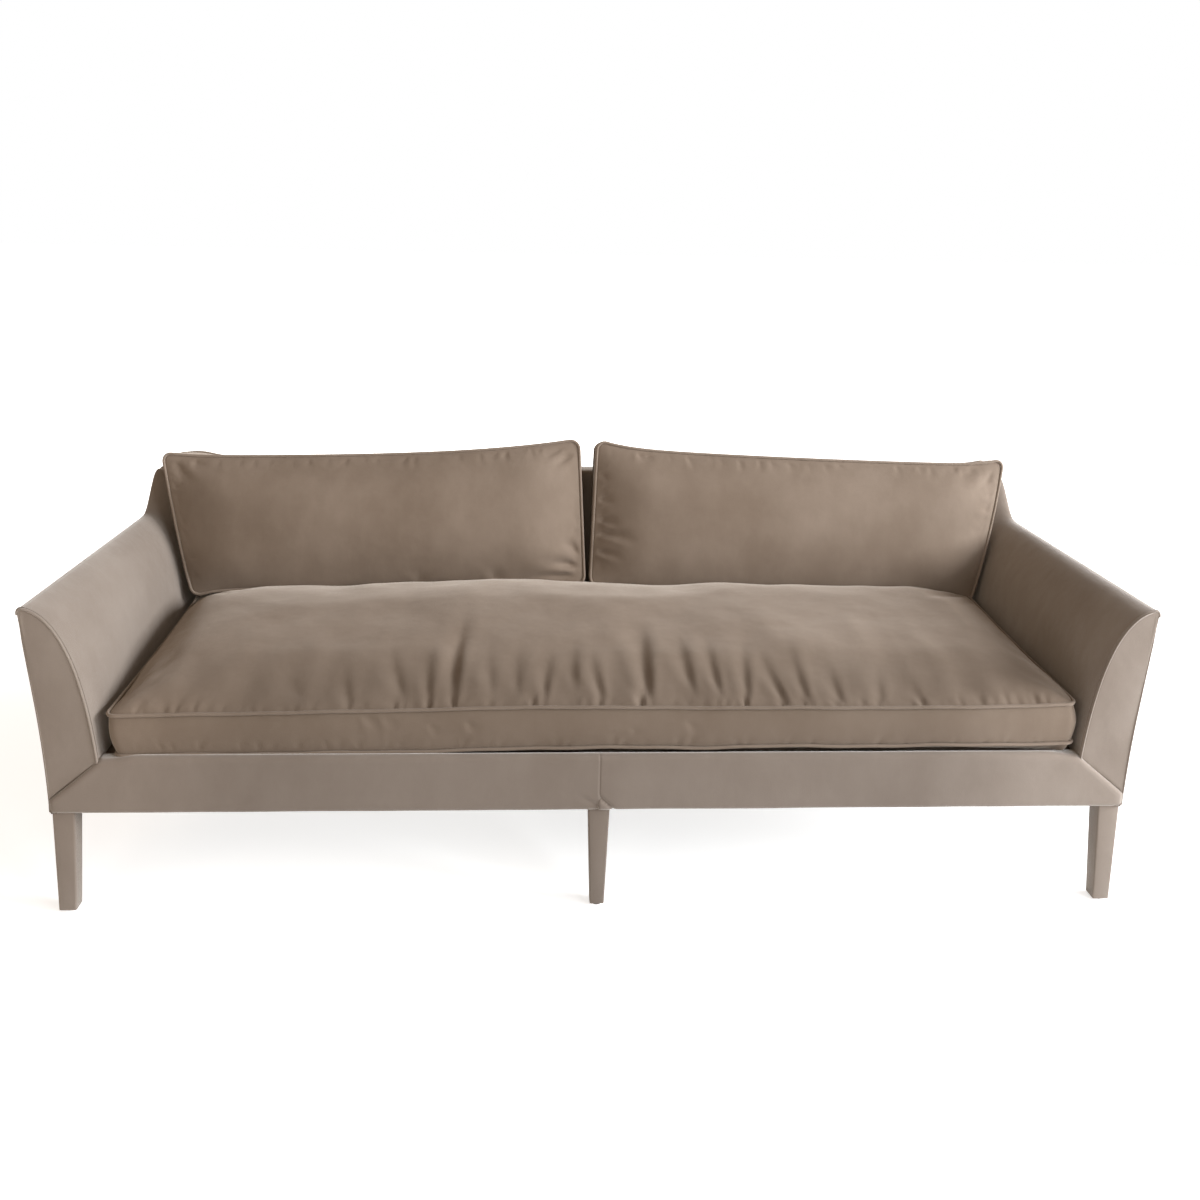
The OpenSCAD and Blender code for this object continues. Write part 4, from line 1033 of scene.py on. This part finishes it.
def back_cushion(side):
    """One back cushion, mirrored for the left, each with its own ears and folds."""
    shape = back_shapes[side]
    foot_x, top_x = shape["reach"]
    foot_gap, top_gap = shape["inner"]
    slant = math.cos(math.atan((top_x - foot_x) / back_cushion_h))
    corner_r, end_swell, top_swell, middle_swell, flat_gap = 0.024, 0.150, 0.095, 0.25, 0.0006

    def top_s(x):
        a = np.clip(x / top_x, 0, 1)
        return (back_cushion_h + shape["slope"] * (1 - 2 * a) + shape["ear"] * (1 - a) ** shape["ear_power"]
                + shape["outer_ear"] * a ** 24 - side_draw * 4 * a * (1 - a))

    def plan(u, v, e):
        u, v = soft_corner(u, v, back_half, back_half_h, corner_r)
        w, a = (v + 1) / 2, (u + 1) / 2
        level = mix(top_gap + e, top_x - e, a)
        s = mix(0.0003 + e + rear_drift(level * side), top_s(level) - e, w)
        q = s / back_cushion_h
        outer = mix(foot_x, top_x, q) - e / slant + shape["arch"] * 4 * q * np.maximum(0, 1 - q)
        return mix(mix(foot_gap, top_gap, q) + e, outer, a), s

    def front(u, v, e):
        x, s = plan(u, v, e)
        rim = swell_in((1 - np.abs(u)) * back_half, end_swell)
        rim = rim * swell_in((1 - np.abs(v)) * back_half_h, top_swell)
        bulge = 0.85 * rim + middle_swell * (1 - u ** 2) * (1 - v ** 2)
        droop = back_foot_droop * (1 - v) / 2 * np.clip(x / back_foot_reach, 0, 1.01) ** 20
        return lean_point(side, x, s - droop, back_t_cushion - welt_in + back_crown * bulge)

    def rear(u, v, e):
        x, s = plan(u, v, e)
        lift = shape["rear_lift"] * np.exp(-((x - 0.985) / 0.045) ** 2) * np.clip(v, 0, 1) ** 4
        return lean_point(side, x, s + lift, flat_gap + np.where(on_rim(u, v), welt_in, 0.0))

    def inset(u, v, t):
        under = (v < -0.999) * rising(0.96, 0.81, np.abs(u))
        return cover_in + math.sin(math.pi * t) * mix(-0.004, 0.0095, under)

    def outer_start(s):
        return (mix(foot_x, top_x, s / back_cushion_h) - 0.01, s), (-1.0, 0.1)

    def depth(points, _):
        x, y, z = points[:, 0] * side, points[:, 1] - front_y - back_y, points[:, 2] - back_z
        s, n = y * math.sin(lean) + z * math.cos(lean), z * math.sin(lean) - y * math.cos(lean)
        gathers = small_puckers(11 + side, 26, 0.02, 0.31, lambda s: ((0.014, s), (1.0, 0.0)))
        gathers += small_puckers(21 + side, 26, 0.02, 0.31, outer_start)
        gathers += small_puckers(31 + side, 22, 0.04, 1.02, lambda x: ((x, top_s(x) - 0.01), (0.0, -1.0)))
        deep = creases(x, s, shape["folds"] + gathers) + unevenness(points, 0.15, 0.0024, 7.0 + side)
        return deep * rising(back_t_cushion - 0.004, back_t_cushion + 0.006, n)

    cushion(f"{SIDE[side]}_back", f"{SIDE[side]}_back_cushion", f"{SIDE[side]}_cushion", (front, rear),
            back_counts, inset, 0, 5, 6.0, 0.012, depth)


# Zips

def boxes(name, places, size, axes):
    """Equal blocks in one mesh, each at its place on three axes."""
    corners = [(a, b, c) for c in (-0.5, 0.5) for b in (-0.5, 0.5) for a in (-0.5, 0.5)]
    points, faces = [], []
    for place in places:
        k = len(points)
        points += [place + sum(corner[i] * size[i] * axes[i] for i in range(3)) for corner in corners]
        faces += [(k, k + 2, k + 3, k + 1), (k + 4, k + 5, k + 7, k + 6), (k, k + 1, k + 5, k + 4),
                  (k + 2, k + 6, k + 7, k + 3), (k, k + 4, k + 6, k + 2), (k + 1, k + 3, k + 7, k + 5)]
    piece = new_piece(name, points, faces)
    face_outwards(piece)
    return piece


def zip_line(name, node, body, away):
    """A cushion's zip, laid on its solid: two woven tapes, and two rows of teeth that mesh."""
    tape_t, gap, end, pitch, row_off = 0.0009, 0.0008, 0.008, 0.003, 0.0011
    tooth = (0.0013, 0.0034, 0.0020)
    solid = read_points(bpy.data.objects[node])
    middle = (solid.max(0) + solid.min(0)) / 2
    axes = np.array([(1.0, 0, 0), (0.0, away[2], -away[1]), away])
    spread = (solid - middle) @ axes.T
    low, size = spread.min(0), spread.max(0) - spread.min(0)
    back = middle + low[2] * axes[2]
    places = [back + hand * (size[1] + gap) / 4 * axes[1] + tape_t / 2 * axes[2] for hand in (-1, 1)]
    tape = boxes(f"{name}_zip_tape", places, (size[0], (size[1] - gap) / 2, tape_t), axes)
    apply_modifier(tape, "BEVEL", width=0.0003, segments=2)
    dress(tape, zip_cloth, body, node)
    count = int((size[0] - 2 * end) / pitch)
    places = [back + ((k - count / 2) * pitch + hand * pitch / 4) * axes[0] + hand * row_off * axes[1]
              + (tape_t + tooth[2] / 2) * axes[2] for k in range(count) for hand in (-1, 1)]
    teeth = boxes(f"{name}_zip_teeth", places, tooth, axes)
    dress(teeth, zip_metal, body, node)
    for face in teeth.data.polygons:
        face.use_smooth = False


def zips():
    zip_line("seat", "seat_cushion_zip", "seat_cushion", (0, math.cos(lean), -math.sin(lean)))
    for side in SIDE.values():
        zip_line(side, f"{side}_cushion_zip", f"{side}_back_cushion", (0, -math.sin(lean), -math.cos(lean)))


# Legs

def select_parts(piece, kind, chosen):
    """Selects the faces or edges that a test picks, and leaves edit mode on."""
    if piece.mode != "OBJECT":
        bpy.ops.object.mode_set(mode="OBJECT")
    select_only(piece)
    bpy.ops.object.mode_set(mode="EDIT")
    bpy.ops.mesh.select_mode(type=kind)
    bpy.ops.mesh.select_all(action="DESELECT")
    bpy.ops.object.mode_set(mode="OBJECT")
    for part in piece.data.polygons if kind == "FACE" else piece.data.edges:
        part.select = chosen(part)
    bpy.ops.object.mode_set(mode="EDIT")


def leg_cover(name, x, y, node, crisp, foot):
    """A tapered sleeve of velvet round a leg."""
    low, cloth, corner_r = 0.0045, 0.0014, 0.0034

    def upright(edge):
        a, b = [piece.data.vertices[k].co.z for k in edge.vertices]
        return abs(a - b) > 0.1

    bpy.ops.object.select_all(action="DESELECT")
    bpy.ops.mesh.primitive_cube_add(size=2, location=(x, y, (leg_h + low) / 2),
                                    scale=(leg_half, leg_half, (leg_h - low) / 2))
    piece = bpy.context.object
    piece.name = name
    bpy.ops.object.transform_apply(location=True, rotation=True, scale=True)
    select_parts(piece, "FACE", lambda face: face.normal.z < -0.9)
    bpy.ops.transform.resize(value=(foot / leg_half, foot / leg_half, 1), center_override=(x, y, low))
    select_parts(piece, "EDGE", upright)
    bpy.ops.mesh.bevel(offset=corner_r, segments=4, affect="EDGES")
    select_parts(piece, "FACE", lambda face: abs(face.normal.z) > 0.9)
    bpy.ops.mesh.delete(type="ONLY_FACE")
    bpy.ops.object.mode_set(mode="OBJECT")
    apply_modifier(piece, "SOLIDIFY", thickness=cloth, offset=-1.0)
    apply_modifier(piece, "BEVEL", width=crisp, segments=3, limit_method="ANGLE",
                   angle_limit=math.radians(60))
    select_only(piece)
    bpy.ops.object.shade_smooth_by_angle(angle=math.radians(50))
    dress(piece, velvet_body, "frame", node)


def legs():
    for name, x in (("left", -leg_x), ("centre", 0), ("right", leg_x)):
        foot, crisp = (0.0170, 0.0004) if x else (0.0145, 0.0006)
        leg_cover(f"front_{name}_leg_sleeve", x, front_y + leg_y, f"front_{name}_leg_cover", crisp, foot)
        leg_cover(f"rear_{name}_leg_sleeve", x, front_y + base_d - leg_y, "rear_leg_covers", 0.0004, foot)


def frame_finishes():
    """Puts a finish on each node that is shown as it is."""
    finishes = {"hardwood": hardwood, "steel": steel, "webbing": strap_cloth, "wadding": ticking,
                "lining": cambric, "zip_tape": zip_cloth, "zip_metal": zip_metal, "glide": glide_plastic,
                "velvet": velvet_body, "velvet_welt": velvet_welt}
    for part in frame["record"]["subparts"]:
        piece = bpy.data.objects.get(part["node"])
        if piece is None or piece.type != "MESH":
            continue
        for holder in piece.material_slots:
            holder.material = finishes[part["material_slot"]]


# Camera, stage and lights

def camera():
    """The photograph's camera: its place, its turn and its lens, worked out from the sofa's edges."""
    yaw, pitch, tilt = 0.05715, 0.12552, -0.02154
    image, focal, centre_v = 1200, 1204.458, 354.755
    place = Vector((-0.1473, front_y - 2.2618, 1.4111))
    ahead = Vector((math.sin(yaw) * math.cos(pitch), math.cos(yaw) * math.cos(pitch), -math.sin(pitch)))
    right = Vector((math.cos(yaw), -math.sin(yaw), 0))
    down = ahead.cross(right)
    across = right * math.cos(tilt) + down * math.sin(tilt)
    upright = right * math.sin(tilt) - down * math.cos(tilt)
    data = bpy.data.cameras.new("camera")
    holder = bpy.data.objects.new("camera", data)
    bpy.context.scene.collection.objects.link(holder)
    holder.matrix_world = Matrix.Translation(place) @ Matrix((across, upright, -ahead)).transposed().to_4x4()
    data.sensor_width = 36
    data.lens = 36 * focal / image
    data.shift_y = -(image / 2 - centre_v) / image
    bpy.context.scene.camera = holder


def area_lamp(name, place, aim, size, watts, colour):
    data = bpy.data.lights.new(name, "AREA")
    data.shape = "RECTANGLE"
    data.size, data.size_y = size
    data.energy = watts
    data.color = colour
    holder = bpy.data.objects.new(name, data)
    bpy.context.scene.collection.objects.link(holder)
    holder.location = place
    holder.rotation_euler = (Vector(aim) - Vector(place)).to_track_quat("-Z", "Y").to_euler()


def seen_rays(look):
    """1 where the camera, a gloss or a glass looks at the backdrop."""
    ways = [look.node("ShaderNodeLightPath", {}, {}, way)
            for way in ("Is Camera Ray", "Is Glossy Ray", "Is Transmission Ray")]
    return look.node("ShaderNodeMath", {"operation": "MAXIMUM"}, {
        0: ways[0], 1: look.node("ShaderNodeMath", {"operation": "MAXIMUM"}, {0: ways[1], 1: ways[2]})})


def stage():
    bpy.ops.object.select_all(action="DESELECT")
    bpy.ops.mesh.primitive_plane_add(size=60, location=(0, 0, -0.0005))
    floor = bpy.context.object
    floor.name = "floor"
    bpy.ops.object.transform_apply(location=True, rotation=True, scale=True)
    look = Look("floor")
    away = look.node("ShaderNodeVectorMath", {"operation": "LENGTH"}, {0: look.place}, "Value")
    glow = look.blend(look.ramp(away, 1.2, 3.5), (0.66, 0.66, 0.66), (1.0, 1.0, 1.0))
    ground = look.node("ShaderNodeBsdfDiffuse", {}, {"Color": (0.90, 0.90, 0.90, 1)}, "BSDF")
    white = look.node("ShaderNodeEmission", {}, {"Color": glow, "Strength": 1.0}, "Emission")
    both = look.node("ShaderNodeAddShader", {}, {0: ground, 1: white})
    mixed = look.node("ShaderNodeMixShader", {}, {0: seen_rays(look), 1: ground, 2: both})
    out = look.tree.nodes.new("ShaderNodeOutputMaterial")
    look.tree.links.new(mixed.socket, out.inputs["Surface"])
    floor.data.materials.append(look.material)
    world = bpy.data.worlds.new("studio")
    bpy.context.scene.world = world
    world.use_nodes = True
    look = Look.__new__(Look)
    look.tree = world.node_tree
    background = look.tree.nodes["Background"]
    colour = look.blend(seen_rays(look), (0.200, 0.135, 0.086), (1.0, 1.0, 1.0))
    look.tree.links.new(colour.socket, background.inputs["Color"])


camera()
stage()
area_lamp("window", (7.0, -1.8, 3.3), (0.0, -0.1, 0.35), (3.4, 3.0), 900, (0.95, 0.97, 1.0))
area_lamp("front_right", (2.7, -3.2, 1.8), (0.4, 0, 0.4), (2.0, 1.8), 95, (0.88, 0.94, 1.0))
area_lamp("front_left", (-2.6, -3.0, 2.2), (0, 0, 0.4), (2.4, 1.8), 28, (1.0, 0.90, 0.76))
area_lamp("front_middle", (-0.3, -4.4, 1.7), (-0.1, 0, 0.45), (1.0, 0.9), 15, (1.0, 0.93, 0.80))
area_lamp("behind", (-0.4, 4.4, 1.35), (0, 0.4, 0.4), (2.6, 1.6), 90, (1.0, 0.97, 0.92))
bpy.context.scene.view_settings.view_transform = "Standard"

frame_finishes()
for hand in (-1, 1):
    inside_arm(hand)
    arm_facing(hand)
    outside_arm(hand)
    front_band(hand)
inside_back()
outside_back()
seat_platform()
under_cover()
legs()
seat_cushion()
for hand in (-1, 1):
    back_cushion(hand)
zips()
